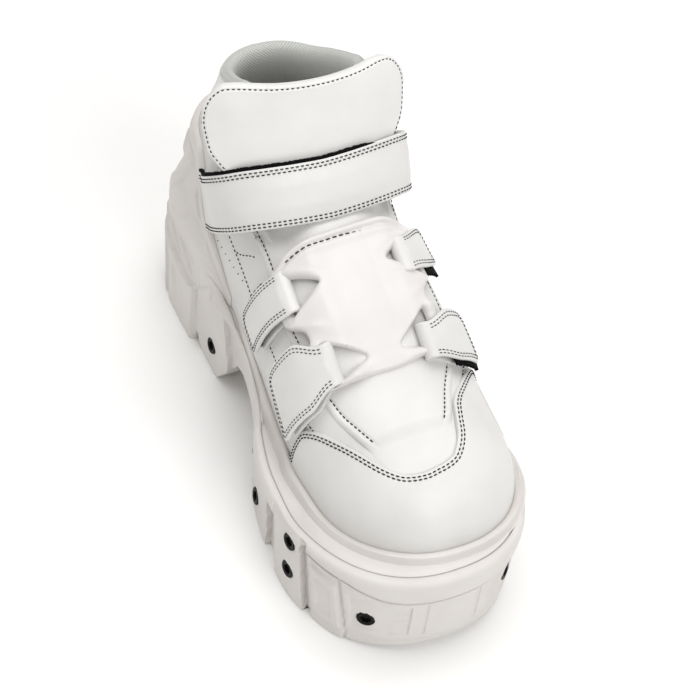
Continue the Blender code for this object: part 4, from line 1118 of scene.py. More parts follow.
# corners of each slot: rear and front end of the fold, and the point near the crest
SADDLE_SLOTS = (
    ((139.2, 31.6), (157.4, 31.6), (156.6, 29.0), (150.4, 16.4), (148.6, 16.6), (139.8, 28.6)),
    ((173.8, 25.8), (191.0, 25.8), (190.0, 22.6), (185.6, 9.0), (184.0, 9.2), (174.6, 22.8)))
# ribs: where each starts and ends, its half width and its height
SADDLE_RIBS = (
    ((134.5, 33.5), (149.0, 10.0), 3.0, 1.5), ((160.5, 33.5), (171.0, 17.0), 2.6, 1.2),
    ((172.8, 28.0), (184.6, 5.5), 2.6, 1.4), ((191.6, 24.0), (189.0, 4.0), 2.4, 0.7),
    ((158.8, 30.0), (153.5, 13.0), 2.2, 0.8))
saddle_rubber = coated("white_soft_rubber", SADDLE_WHITE, SADDLE_SHADE, 0.42, 0.0007, 0.3,
                       0.00003)


def rounded_polygon(corners, turns=3):
    """Chaikin corner cutting: each side keeps its points at 1/4 and 3/4."""
    ring = np.array(corners, float)
    for _ in range(turns):
        ahead = np.roll(ring, -1, axis=0)
        ring = np.stack([0.75 * ring + 0.25 * ahead, 0.25 * ring + 0.75 * ahead],
                        axis=1).reshape(-1, 2)
    return ring


def inside_distance(points, ring):
    """Distance to a closed ring of sides, positive inside (even-odd crossings)."""
    shape = points.shape[:-1]
    flat = points.reshape(-1, 2)
    best = np.full(len(flat), 1e9)
    inside = np.zeros(len(flat), bool)
    for a, b in zip(ring, np.roll(ring, -1, axis=0)):
        side = b - a
        t = np.clip((flat - a) @ side / max(side @ side, 1e-12), 0.0, 1.0)
        best = np.minimum(best, np.linalg.norm(flat - a - t[:, None] * side, axis=1))
        if a[1] != b[1]:
            crossing = (a[1] > flat[:, 1]) != (b[1] > flat[:, 1])
            inside ^= crossing & (flat[:, 0] < a[0] + side[0] * (flat[:, 1] - a[1]) / side[1])
    return np.where(inside, best, -best).reshape(shape)


def segment_distance(points, a, b):
    """Distance to a straight piece, and how far along it the nearest point is."""
    a = np.array(a, float)
    side = np.array(b, float) - a
    t = np.clip(((points - a) @ side) / (side @ side), 0.0, 1.0)
    return np.linalg.norm(points - a - t[..., None] * side, axis=-1), t


def lateral_of(corners):
    """The medial corners laid over to the lateral side: narrower, and further back."""
    return [(station - LATERAL_SHIFT * ease(across, 4.0, 20.0), -across * LATERAL_SHARE)
            for station, across in corners]


saddle_ring = rounded_polygon(list(SADDLE_HALF) + lateral_of(SADDLE_HALF)[-2:0:-1], 2)
saddle_holes = [rounded_polygon(slot, 2) for slot in SADDLE_SLOTS]
saddle_holes += [rounded_polygon(lateral_of(slot), 2) for slot in SADDLE_SLOTS]


def saddle_margin(points):
    """Distance inside the outline and outside the slots."""
    margin = inside_distance(points, saddle_ring)
    for hole in saddle_holes:
        margin = np.minimum(margin, -inside_distance(points, hole))
    return margin


def cut_sheet(margin, low, high, step):
    """Cells of a square grid that lie inside a margin field.  The outer points are
    then moved along the field's slope until they lie on its zero line."""
    u = np.arange(low[0], high[0] + step, step)
    v = np.arange(low[1], high[1] + step, step)
    points = np.stack(np.meshgrid(u, v, indexing="ij"), axis=-1)
    field = margin(points)
    rows, columns = field.shape
    quads = grid_quads(rows, columns)
    kept = quads[(field.ravel()[quads] > -0.45 * step).all(axis=1)]
    edges = np.concatenate([kept[:, [0, 1]], kept[:, [1, 2]], kept[:, [2, 3]], kept[:, [3, 0]]])
    key = np.sort(edges, axis=1)
    _, index, count = np.unique(key[:, 0] * rows * columns + key[:, 1], return_index=True,
                                return_counts=True)
    border = edges[index[count == 1]]
    on_border = np.unique(border)
    flat = points.reshape(-1, 2).copy()
    for _ in range(3):
        here = flat[on_border]
        value = margin(here[None])[0]
        slope = np.stack([(margin((here + d)[None])[0] - margin((here - d)[None])[0]) / 0.1
                          for d in (np.array([0.05, 0.0]), np.array([0.0, 0.05]))], axis=1)
        slope = slope / np.maximum(np.linalg.norm(slope, axis=1, keepdims=True), 0.3)
        flat[on_border] = here - slope * np.clip(value, -step, step)[:, None]
    used = np.unique(kept)
    renumber = np.full(rows * columns, -1)
    renumber[used] = np.arange(len(used))
    return flat[used], renumber[kept], renumber[border]


def sheet_solid(top, bottom, quads, border):
    """Solid between two layers of the same cut sheet, with a wall round its border."""
    count = len(top)
    wall = np.stack([border[:, 1], border[:, 0], border[:, 0] + count, border[:, 1] + count],
                    axis=1)
    return np.concatenate([top, bottom]), np.concatenate([quads, quads[:, ::-1] + count, wall])


saddle_spots, saddle_quads, saddle_border = cut_sheet(
    saddle_margin, (126.0, -41.0), (196.0, 41.0), SADDLE_STEP)
saddle_edge = np.maximum(saddle_margin(saddle_spots[None])[0], 0.0)
saddle_out = np.maximum(inside_distance(saddle_spots[None], saddle_ring)[0], 0.0)
saddle_base = SADDLE_LOW + (SADDLE_HIGH - SADDLE_LOW) * ease(np.abs(saddle_spots[:, 1]), 8, 18)
saddle_rear = 1 - ease(saddle_spots[:, 0], 134.0, 140.0)
saddle_rear = saddle_rear * (1 - ease(np.abs(saddle_spots[:, 1]), 26.0, 31.0))
saddle_lift = saddle_base + SADDLE_THICK * (0.3 + 0.7 * rolled(saddle_edge, SADDLE_ROUND))
saddle_lift += saddle_rear * (0.9 * np.exp(-((saddle_out - 1.8) / 1.2) ** 2)
                              - 0.9 * np.exp(-((saddle_out - SADDLE_SEAM) / 0.9) ** 2)
                              + 0.7 * np.exp(-((saddle_out - 6.4) / 1.4) ** 2))
for rib_start, rib_end, rib_half, rib_height in SADDLE_RIBS:
    for mirror in (MEDIAL, LATERAL):
        ends = [rib_start, rib_end] if mirror > 0 else lateral_of([rib_start, rib_end])
        gap, share = segment_distance(saddle_spots, *ends)
        saddle_lift += (rib_height * np.exp(-(gap / rib_half * 1.5) ** 2)
                        * (1 - ease(share, 0.45, 1.0)) * rolled(saddle_edge + 0.3, 1.2))
saddle_lift += 0.7 * np.exp(-(np.hypot(saddle_spots[:, 0] - 166.0, saddle_spots[:, 1]) / 13) ** 2)
saddle_lift += 0.9 * ease(saddle_spots[:, 0], 184.0, 189.5) * rolled(saddle_out, 2.4) * (
    1 - ease(np.abs(saddle_spots[:, 1]), 14.0, 22.0))
saddle_moulding = build("saddle_moulding", *sheet_solid(
    over_crest(saddle_spots[:, 0], saddle_spots[:, 1], saddle_lift),
    over_crest(saddle_spots[:, 0], saddle_spots[:, 1], saddle_base), saddle_quads,
    saddle_border), saddle_rubber, 60.0)
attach(saddle_moulding, "root")
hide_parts("saddle")

saddle_row_across = np.linspace(27.5, -25.0, 120)
saddle_row_station = 128.6 + SADDLE_SEAM + 0.9 * ease(np.abs(saddle_row_across), 16, 28)
saddle_row_side = np.where(saddle_row_across > 0, MEDIAL, LATERAL)
saddle_row_rise = rise_across(saddle_row_station, saddle_row_across)
saddle_row = lifted(saddle_row_station, saddle_row_rise, saddle_row_side,
                    SADDLE_THICK + SADDLE_LOW - 0.72 + (SADDLE_HIGH - SADDLE_LOW)
                    * ease(np.abs(saddle_row_across), 8, 18))
saddle_stitches = build("saddle_stitches", *stitches([
    (saddle_row, upper_normal(saddle_row_station, saddle_row_rise, saddle_row_side))],
    pitch=3.0, length=2.6, radius=0.32), thread)
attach(saddle_stitches, "root")

# ------------------------------------------------------------------ the four side straps
# White leather folded over a stiffener: each comes up from its sewn root, through a
# slot, turns round the saddle's bar and is laid back on a black hook-and-loop tape.

STRAP_THICK = 2.2
STRAP_LOW = 1.9
STRAP_HIGH = 8.0
STRAP_BAR = 7.0
STRAP_REAR_CORNER = 8.0
STRAP_FRONT_CORNER = 3.6
STRAP_SEAMS = (1.5, 2.9)
STRAP_TURNED = 42
TAPE_THICK = 1.3
# side, station of the fold and of the tip, half width in the slot and beyond it, fold's
# distance from the crest, heights of the tip and of the root, lift of the tip
STRAPS = {
    "rear_medial": (MEDIAL, 146.0, 138.0, 10.2, 10.2, 31.5, 78.0, 84.0, 4.8),
    "front_medial": (MEDIAL, 182.5, 178.5, 8.5, 14.0, 25.0, 73.5, 78.0, 5.6),
    "rear_lateral": (LATERAL, 147.0, 135.5, 9.0, 11.0, 22.5, 103.0, 104.0, 8.0),
    "front_lateral": (LATERAL, 185.0, 180.5, 7.4, 10.8, 19.5, 88.5, 90.0, 6.5)}
# how far each tape stands out past the strap's tip, its rear edge and its front edge
TAPES = {"rear_medial": (-2.0, 1.2, -1.8), "front_medial": (-2.0, -0.5, -2.5),
         "rear_lateral": (5.0, -0.5, 1.8), "front_lateral": (2.2, -0.5, 1.6)}


def tape_finish():
    """Hook-and-loop tape: black nylon pile, each hook a dot of the voronoi cells."""
    material = bpy.data.materials.new("hook_tape")
    material.use_nodes = True
    nodes = material.node_tree.nodes
    links = material.node_tree.links
    shader = nodes["Principled BSDF"]
    relief = nodes.new("ShaderNodeGroup")
    relief.node_tree = SURFACE_RELIEF
    relief.inputs["Pebble Size"].default_value = 0.0005
    relief.inputs["Pebble Share"].default_value = 0.8
    tint = nodes.new("ShaderNodeMix")
    tint.data_type = "RGBA"
    tint.inputs["A"].default_value = (0.002, 0.002, 0.002, 1.0)
    tint.inputs["B"].default_value = (0.01, 0.01, 0.01, 1.0)
    links.new(relief.outputs["Height"], tint.inputs["Factor"])
    links.new(tint.outputs["Result"], shader.inputs["Base Color"])
    bump = nodes.new("ShaderNodeBump")
    bump.inputs["Distance"].default_value = 0.0004
    links.new(relief.outputs["Height"], bump.inputs["Height"])
    links.new(bump.outputs["Normal"], shader.inputs["Normal"])
    shader.inputs["Roughness"].default_value = 0.9
    shader.inputs["Specular IOR Level"].default_value = 0.1
    return material


tape = tape_finish()


def strap_path(fold, tip, root, laid):
    """Distance from the crest and lift, from the root up to the tip: straight in,
    a half circle round the bar, out along it, then sinking as k^1.5 to the tip."""
    radius = (STRAP_HIGH - STRAP_LOW) / 2
    turn = np.linspace(-math.pi / 2, math.pi / 2, 18)[1:-1]
    lower = np.linspace(root, fold, 26)
    k = np.linspace(0.0, 1.0, 80) ** 0.92
    start = fold + STRAP_BAR
    bar = np.linspace(fold, start, 8)[:-1]
    return np.concatenate([
        np.stack([lower, np.full_like(lower, STRAP_LOW)], axis=1),
        np.stack([fold - radius * np.cos(turn),
                  (STRAP_LOW + STRAP_HIGH) / 2 + radius * np.sin(turn)], axis=1),
        np.stack([bar, np.full_like(bar, STRAP_HIGH)], axis=1),
        np.stack([start + (tip - start) * k,
                  STRAP_HIGH + (laid - STRAP_HIGH) * k ** 1.5], axis=1)])


def corner_cut(to_end, radius):
    """How far a rounded corner cuts in at a distance from the strap's end."""
    t = np.clip(1 - to_end / radius, 0.0, 1.0)
    return radius * (1 - np.sqrt(np.maximum(1 - t ** 2, 0.0)))


def strap_layers(side, fold_station, tip_station, slot_half, laid_half, fold, tip, root,
                 laid):
    """Path, its normals in the distance-lift plane, and the two edges by station."""
    tip_distance = abs(float(across_at_height(tip_station, tip, side)))
    root_distance = abs(float(across_at_height(tip_station, root, side)))
    path = strap_path(fold, tip_distance, root_distance, laid)
    along = np.gradient(path, axis=0)
    normal = unit(np.stack([-along[:, 1], along[:, 0]], axis=1))
    reach = np.clip((path[:, 0] - fold) / (tip_distance - fold), 0.0, 1.0)
    middle = fold_station + (tip_station - fold_station) * reach
    half = slot_half + (laid_half - slot_half) * ease(path[:, 0], fold, fold + 12)
    upper = np.arange(len(path)) >= STRAP_TURNED
    to_end = np.where(upper, tip_distance - path[:, 0], 50.0)
    rear = middle - half + corner_cut(to_end, STRAP_REAR_CORNER)
    front = middle + half - corner_cut(to_end, STRAP_FRONT_CORNER)
    return path, normal, rear, front, to_end, upper


def strap_point(layers, side, across_share, above):
    """Point at a share of the width (0 rear, 1 front) and above the middle layer."""
    path, normal, rear, front = layers[:4]
    place = path[:, None, :] + normal[:, None, :] * above[..., None]
    station = rear[:, None] + (front - rear)[:, None] * across_share
    return over_crest(station, side * place[..., 0], place[..., 1])


def strap_solid(layers, side):
    """Outer and inner layer: half the thickness times the rolled edge, swollen
    between the seams, with a dip along both rows of stitches."""
    _, _, rear, front, to_end, upper = layers
    share = both_ends(1.0, 0.09, 0.045)[None, :]
    width = (front - rear)[:, None]
    margin = np.minimum(np.minimum(share, 1 - share) * width, to_end[:, None] + 1e-6)
    full = STRAP_THICK / 2 * (0.25 + 0.75 * rolled(margin, 1.1))
    dips = sum(np.exp(-((margin - seam) / 0.4) ** 2) for seam in STRAP_SEAMS)
    swell = 0.55 * ease(margin, STRAP_SEAMS[1], 9.0)
    share = np.broadcast_to(share, margin.shape)
    outer = strap_point(layers, side, share, full - 0.14 * dips + swell * upper[:, None])
    inner = strap_point(layers, side, share, -full)
    return outer, inner


def strap_seam(layers, side, inset):
    """One row of stitches: along the rear edge, round the end and back along the
    front edge, at an inset from all three."""
    path, normal, rear, front, to_end, upper = layers
    sewn = upper & (to_end >= inset)
    place = path[sewn] + normal[sewn] * (STRAP_THICK / 2 - 0.08)
    rear_row = rear[sewn] + inset
    front_row = front[sewn] - inset
    pull = np.clip((inset + 2.5 - to_end[sewn]) / 2.5, 0.0, 1.0) ** 2
    rear_row = rear_row + pull * 0.5
    end = np.linspace(rear_row[-1], front_row[-1], 24)[1:-1]
    station = np.concatenate([rear_row, end, front_row[::-1]])
    distance = np.concatenate([place[:, 0], np.full(len(end), place[-1, 0]), place[::-1, 0]])
    lift = np.concatenate([place[:, 1], np.full(len(end), place[-1, 1]), place[::-1, 1]])
    line = over_crest(station, side * distance, lift)
    higher = over_crest(station, side * distance, lift + 1.0)
    return even_row(line, unit(higher - line))


def tape_solid(layers, side, rear_out, front_out):
    """Tape under the laid-back half, its edges and its end a little ragged."""
    path, normal, rear, front, _, upper = layers
    held = upper & (path[:, 0] > path[STRAP_TURNED, 0] + STRAP_BAR + 1.5)
    some = [part[held] for part in (path, normal, rear, front)]
    count = held.sum()
    jag = np.random.default_rng(7).uniform(-0.45, 0.45, (2, count))
    some[2] = some[2] - rear_out + jag[0]
    some[3] = some[3] + front_out + jag[1]
    share = np.broadcast_to(np.linspace(0.0, 1.0, 6)[None, :], (count, 6))
    high = strap_point(some, side, share, np.full((count, 6), -STRAP_THICK / 2 + 0.1))
    low = strap_point(some, side, share, np.full((count, 6), -STRAP_THICK / 2 - TAPE_THICK))
    return high, low


for label, (side, *sizes) in STRAPS.items():
    layers = strap_layers(side, *sizes)
    strap = build(f"strap_{label}_leather", *shell_parts(*strap_solid(layers, side)), leather)
    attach(strap, "root")
    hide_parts(f"strap_{label}")
    sewing = build(f"strap_{label}_stitches", *stitches(
        [strap_seam(layers, side, inset) for inset in STRAP_SEAMS],
        pitch=2.1, length=1.62, radius=0.22), thread)
    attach(sewing, "root")
    past, rear_out, front_out = TAPES[label]
    beneath = strap_layers(side, *sizes[:-3], sizes[-3] - past, *sizes[-2:])
    strip = build(f"strap_{label}_tape",
                  *shell_parts(*tape_solid(beneath, side, rear_out, front_out)), tape)
    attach(strip, "root")

# ------------------------------------------------------------------ the ankle strap
# A broad leather strap over the tongue from quarter to quarter, stiffened, with two
# rows of stitches along both edges; the black hook-and-loop patch shows above it.

ANKLE_THICK = 2.2
ANKLE_WIDTH = 28.0
ANKLE_SEAMS = (1.5, 3.0)
ANKLE_OUTER = 3.0
ANKLE = table("station across height back flare", (
    (116.5, 0.0, 140.0, 16.0, 0.0), (114.5, 18.0, 139.5, 16.0, 0.0),
    (110.0, 33.5, 137.0, 16.0, 0.5), (102.5, 43.5, 130.5, 16.0, 1.5),
    (92.5, 47.0, 121.5, 16.0, 2.0), (83.0, 45.6, 112.5, 16.0, 0.5),
    (75.0, 43.3, 105.5, 16.0, -1.5), (69.0, 42.3, 100.5, 16.0, -1.5)))


def ankle_frame():
    """Middle line from the lateral end to the medial end, its width direction and
    its outward normal, all by even length."""
    knots = np.arange(len(ANKLE["station"]), dtype=float)
    at = np.linspace(0.0, knots[-1], 150)
    line = {name: smooth(knots, ANKLE[name], at) for name in ANKLE}
    rest = np.sqrt(ANKLE_WIDTH ** 2 - line["back"] ** 2 - line["flare"] ** 2)

    def half(side):
        """Place along one side's centre line and the vector across the strap there."""
        out = ANKLE_OUTER * ease(line["across"], 22.0, 43.0) * (side < 0)
        place = np.stack([line["station"], side * (line["across"] + out), line["height"]],
                         axis=-1)
        width = np.stack([-line["back"], side * line["flare"], rest], axis=-1)
        return np.concatenate([place, width], axis=1)
    whole = np.concatenate([half(LATERAL)[::-1], half(MEDIAL)[1:]])
    place = whole[:, :3]
    for _ in range(30):
        place[1:-1] = (place[:-2] + 2 * place[1:-1] + place[2:]) / 4
    width = whole[:, 3:]
    along = np.gradient(place, axis=0)
    outward = unit(np.cross(along, width))
    if outward[len(outward) // 2, 0] < 0:
        outward = -outward
    return place, width, outward


ankle_place, ankle_width, ankle_outward = ankle_frame()


def ankle_point(share, out):
    """Place + width * share + outward * out, over the whole length."""
    return (ankle_place[:, None, :] + ankle_width[:, None, :] * share[..., None]
            + ankle_outward[:, None, :] * out[..., None])


ankle_length = np.concatenate([[0], np.cumsum(np.linalg.norm(np.diff(ankle_place, axis=0),
                                                             axis=1))])
ankle_end = np.minimum(ankle_length, ankle_length[-1] - ankle_length)[:, None]
ankle_across = both_ends(ANKLE_WIDTH, 2.0, 0.75)[None, :]
ankle_margin = np.minimum(np.minimum(ankle_across, ANKLE_WIDTH - ankle_across), ankle_end)
ankle_full = ANKLE_THICK / 2 * (0.3 + 0.7 * rolled(ankle_margin, 1.2))
ankle_dips = sum(np.exp(-((ankle_margin - seam) / 0.42) ** 2) for seam in ANKLE_SEAMS)
ankle_swell = 0.5 * ease(ankle_margin, ANKLE_SEAMS[1], 10.0)
ankle_share = np.broadcast_to(ankle_across / ANKLE_WIDTH - 0.5, ankle_margin.shape)
ankle_band = build("ankle_band", *shell_parts(
    ankle_point(ankle_share, ankle_full - ANKLE_THICK / 2 - 0.14 * ankle_dips + ankle_swell),
    ankle_point(ankle_share, -ankle_full - ANKLE_THICK / 2)), leather)
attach(ankle_band, "root")
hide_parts("ankle_strap")


def ankle_row(inset):
    """Row of stitches at an inset from the lower edge, or from the upper if below 0."""
    share = (inset / ANKLE_WIDTH - 0.5) if inset > 0 else (0.5 + inset / ANKLE_WIDTH)
    line = ankle_place + ankle_width * share - ankle_outward * 0.1
    return even_row(line[4:-4], ankle_outward[4:-4])


ankle_stitches = build("ankle_band_stitches", *stitches(
    [ankle_row(inset) for inset in (*ANKLE_SEAMS, *(-seam for seam in ANKLE_SEAMS))]), thread)
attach(ankle_stitches, "root")

PATCH_THICK = 1.5
patch_ragged = np.random.default_rng(11).uniform(-0.35, 0.35, len(ankle_place))
patch_reach = ankle_length / ankle_length[-1]
patch_top = (ANKLE_WIDTH / 2 - 2.0 + 3.3 * ease(patch_reach, 0.29, 0.42)
             + 0.6 * patch_ragged * ease(patch_reach, 0.26, 0.4))
patch_share = np.linspace(-0.6, 1.0, 5)[None, :] * patch_top[:, None] / ANKLE_WIDTH
patch = build("ankle_band_patch", *shell_parts(
    ankle_point(patch_share, np.full_like(patch_share, -0.4)),
    ankle_point(patch_share, np.full_like(patch_share, -0.4 - PATCH_THICK))), tape)
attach(patch, "root")

# ------------------------------------------------------------------ the platform sole
# One moulding of white rubber: a rolled bead against the upper, a flat rim with a
# thin groove, a rounded edge, then a wall of panels and lugs down to the cut tread.

SOLE_GAP = 0.3
BEAD_OVERLAP = -0.8
BEAD_HEIGHT = 4.0
BEAD_WIDTH = 4.4
BEAD_REAR = 127.0
BEAD_BLEND = 20.0
HEEL_TAPER_END = 110.0
EDGE_ROUND = 3.2
RIM_GROOVE_INSET = 6.2
DRAFT = 0.6
TREAD_ROUND_HIGH = 1.8
TREAD_ROUND_IN = 1.3
TREAD_CUT = 3.0
EDGE_LEAN = 0.13
ROLL_STEP = 2.3
ROLL_CURL = 8.0
WALL_STEP = 1.25
# stations, at height 45, of the upright edges between the panels
PANEL_REAR = 208.5
PANEL_FRONT = 234.4
CROSS_GROOVE_FRONT = 238.2
PLATE_REAR = 240.6
PLATE_FRONT = 254.6
BUMPER_REAR = 257.2
LUG_REAR_GAP = (33.0, 37.4)
LUG_FRONT_GAP = (67.6, 71.2)
LUG_FRONT = 108.4
# how far from the middle line the bumper's sunk field and its frame end
FIELD_INNER = 20.0
FRAME_INNER = 13.2
TREAD = table("station height", (
    (0.0, 3.0), (7.0, 0.0), (68.0, 0.0), (69.2, 8.0), (73.0, 8.0), (74.4, 0.0),
    (97.0, 0.0), (118.0, 29.0), (127.0, 33.0), (145.0, 33.0), (154.0, 28.0),
    (171.0, 3.0), (175.0, 0.0), (228.0, 0.0), (254.0, 0.0), (264.0, 1.3),
    (272.0, 3.3), (280.0, 6.0)))
# foot of the rounded edge: under it the wall steps in
ROLL_FOOT = table("station height", (
    (0.0, 57.0), (60.0, 55.5), (98.0, 51.0), (128.0, 46.0), (160.0, 42.0), (178.0, 40.0),
    (203.0, 40.0), (234.0, 46.0), (245.0, 46.6), (257.0, 47.2), (266.0, 45.2),
    (273.0, 42.8), (280.0, 42.0)))
# top of the heel's proud lugs
LUG_TOP = table("station height", (
    (0.0, 45.0), (20.0, 43.5), (39.0, 42.0), (60.0, 38.0), (70.0, 43.0), (89.0, 62.0),
    (98.0, 72.0)))
# station and height of the screws of each side
SCREWS = {"bumper": (267.8, 23.5), "panel_upper": (226.8, 42.0), "panel_lower": (227.2, 20.0),
          "ball_upper": (168.5, 36.4), "ball_lower": (180.0, 11.5), "heel": (92.6, 21.5)}
# a seat's depth, and the distances from its middle at which it begins and ends to rise
SEAT_DEPTH = 4.2
SEAT_RISE = (2.5, 4.1)


def sole_columns(side):
    """Stations at even steps along the wall's outline, plus close pairs at each edge
    of the panels, so that the steps between panels are sharp."""
    fine = 140.0 - 140.0 * np.cos(np.linspace(0, math.pi, 3000))
    width = wall_width(fine, side)
    length = np.concatenate([[0], np.cumsum(np.hypot(np.diff(fine), np.diff(width)))])
    even = np.interp(np.linspace(0, length[-1], int(length[-1] / WALL_STEP)), length, fine)
    edges = np.array([*LUG_REAR_GAP, *LUG_FRONT_GAP, 68.6, 73.7, 97.0, LUG_FRONT, PANEL_REAR,
                      PANEL_FRONT, CROSS_GROOVE_FRONT, PLATE_REAR, PLATE_FRONT, BUMPER_REAR])
    beside = np.array([-0.9, 0.9, 2.6, 4.4])
    near = (edges[:, None] + beside).ravel()
    ahead = fine > 262.0
    inner = np.array([[FIELD_INNER], [FRAME_INNER]]) + np.array([-0.9, -0.3, 0.3, 0.9])
    near_front = np.interp(-inner.ravel(), -width[ahead], fine[ahead])
    return np.unique(np.round(np.concatenate([even, near, near_front]), 2))


def box_mask(station, height, first, last, low, high, soft=0.5):
    """1 inside a rectangle of the wall, easing to 0 over a soft edge."""
    return (ease(station, first - soft, first + soft) * (1 - ease(station, last - soft,
                                                                  last + soft))
            * ease(height, low - soft, low + soft)
            * (1 - ease(height, high - soft, high + soft)))


def wall_outline(station, side):
    """Plan of the wall's outer face: station and signed half width."""
    return np.stack([station, side * wall_width(station, side)], axis=-1)


def forefoot_relief(leaning, height, foot, tread, across):
    """Forefoot: everything under the rolled edge steps in, except the screw panel;
    grooves, plate and bumper follow, each a box mask in leaning station and height."""
    under = 1 - ease(height, foot - 0.7, foot + 0.4)
    panel = ease(leaning, PANEL_REAR - 0.4, PANEL_REAR + 0.4) * (
        1 - ease(leaning, PANEL_FRONT - 0.4, PANEL_FRONT + 0.4))
    deep = ROLL_STEP * under * ease(leaning, 150.0, 178.0) * (1 - panel) + 0.9 * panel
    hollow = np.clip((height - tread) / np.maximum(foot + 2 - tread, 1), 0, 1)
    bowl = np.sin(hollow * math.pi) ** 0.7
    # the rolled edge curls in to a groove over the bumper's and the plate's top
    curl = np.clip((foot + ROLL_CURL - height) / ROLL_CURL, 0.0, 0.98)
    deep = deep + 4.2 * (1 - np.sqrt(1 - curl ** 2)) * ease(height, foot - 1.3, foot - 0.2) * (
        ease(leaning, PANEL_FRONT, PANEL_FRONT + 3.0))
    behind = ease(leaning, 160.0, 188.0) * (1 - ease(leaning, PANEL_REAR - 0.5, PANEL_REAR))
    deep = deep + (2.0 * bowl - 0.9 * under) * behind
    deep = deep + 3.4 * under * box_mask(leaning, height, PANEL_REAR - 13.0,
                                         PANEL_REAR - 0.3, -5.0, 70.0, 0.5)
    deep = deep + 2.6 * box_mask(leaning, height, PANEL_FRONT, CROSS_GROOVE_FRONT,
                                 -5.0, 70.0, 0.4)
    plate = box_mask(leaning, height, PLATE_REAR, PLATE_FRONT, 9.5, 41.5, 0.4)
    window = box_mask(leaning, height, PLATE_REAR + 3.2, PLATE_FRONT - 3.2, 15.0, 35.0, 0.4)
    deep = deep - 1.2 * plate + 0.9 * window
    deep = deep + 1.4 * under * box_mask(leaning, height, PLATE_FRONT + 1.2, BUMPER_REAR,
                                         -5.0, 70.0, 0.35)
    bumper = ease(leaning, BUMPER_REAR, BUMPER_REAR + 0.8) * under
    deep = deep + 0.2 * bumper * ease(height, 11.0, 12.0)
    deep = deep + 0.9 * bumper * (1 - ease(height, 11.0, 12.0))
    field = (ease(leaning, BUMPER_REAR + 2.2, BUMPER_REAR + 3.0)
             * ease(across, FIELD_INNER - 0.5, FIELD_INNER + 0.5)
             * ease(height, 15.0, 15.9) * (1 - ease(height, 38.0, 38.9)))
    frame_end = 1 - ease(np.abs(across - FRAME_INNER), 0.5, 1.1)
    frame_end = frame_end * ease(height, 14.0, 15.0) * (1 - ease(height, 39.0, 40.0))
    ribs = 0.5 + 0.5 * np.cos((height - 17.5) / 4.0 * 2 * math.pi)
    ribs = ribs * (1 - ease(across, 27.0, 28.5)) * ease(across, 21.0, 22.5)
    return deep + bumper * (1.0 * field - 0.7 * ribs * field + 0.6 * frame_end)


def heel_relief(station, height, foot, tread):
    """Heel: three proud lugs with gaps between them, the front one drawn in by
    3 - 2z/52, all under a curved shoulder; then the step to the waist's hollow."""
    heel = 1 - ease(station, 96.0, 100.0)
    shoulder = smooth(LUG_TOP["station"], LUG_TOP["height"], station)
    above = ease(height, shoulder - 0.7, shoulder + 0.7) * heel
    upright = station - 0.075 * height
    deep = 1.5 * above * (1 - ease(station, 66.0, 80.0)) + 0.7 * above
    deep = deep + 2.8 * box_mask(station, height, *LUG_REAR_GAP, -5.0, 39.0, 0.8)
    deep = deep + 2.6 * box_mask(upright, height, *LUG_FRONT_GAP, -5.0, 45.0, 0.7)
    front_lug = ease(upright, LUG_FRONT_GAP[1] - 0.7, LUG_FRONT_GAP[1] + 0.7) * (
        1 - ease(station, LUG_FRONT, 128.0))
    deep = deep + front_lug * np.clip(3.0 - 2.0 * height / 52.0, 0.0, 3.0)
    waist_edge = LUG_FRONT + (45.0 - height) * 0.06
    behind_step = ease(station, waist_edge - 0.5, waist_edge + 0.7)
    deep = deep + 2.6 * behind_step * (1 - ease(station, 118.0, 150.0)) * (
        1 - ease(height, foot + 4, foot + 10))
    deep = deep + 1.0 * box_mask(station, height, 92.4, 93.8, 57.0, 64.0, 0.4)
    for first, last in ((14.0, 26.0), (45.0, 58.0)):
        slant = station + (height - 22.0) * 0.18
        deep = deep + 0.9 * box_mask(slant, height, first, last, 9.0, 32.0, 0.8)
    bars = np.abs(((station + 0.9 * (height - 48.0)) / 15.0) % 1.0 - 0.5)
    bars = ease(bars, 0.24, 0.34) * box_mask(station, height, 22.0, 66.0, 46.0, 58.0, 1.5)
    deep = deep - 1.1 * bars
    waist = ease(station, 100.0, 122.0) * (1 - ease(station, 150.0, 172.0))
    hollow = np.clip((height - tread) / np.maximum(foot - tread, 1), 0, 1)
    return deep + 1.6 * waist * np.sin(hollow * math.pi)


def wall_inset(station, height, side):
    """How far the wall lies inside its outline: heel taper, draft, relief and the
    screws' seats; the last are under the heads, so they only make room."""
    tread = np.interp(station, TREAD["station"], TREAD["height"])
    foot = smooth(ROLL_FOOT["station"], ROLL_FOOT["height"], station)
    top = shelf_height(station) - EDGE_ROUND
    low = tread + TREAD_ROUND_HIGH
    taper = HEEL_TAPER * (1 - ease(station, HEEL_TAPER_END - 60, HEEL_TAPER_END))
    down = np.clip((top - height) / np.maximum(top - low, 1.0), 0.0, 1.0)
    leaning = station + EDGE_LEAN * (height - 45.0)
    outline = wall_outline(station, side)
    forefoot = ease(station, 132.0, 150.0)
    relief = forefoot * forefoot_relief(leaning, height, foot, tread, np.abs(outline[..., 1]))
    relief = relief + (1 - ease(station, 165.0, 180.0)) * heel_relief(station, height, foot,
                                                                      tread)
    inset = taper * (1 - down) + DRAFT * down + relief
    for at, up in SCREWS.values():
        seat = wall_outline(np.array(at), side)
        gap = np.sqrt(((outline - seat) ** 2).sum(axis=-1) + (height - up) ** 2)
        inset = inset + SEAT_DEPTH * (1 - ease(gap, *SEAT_RISE))
    return inset


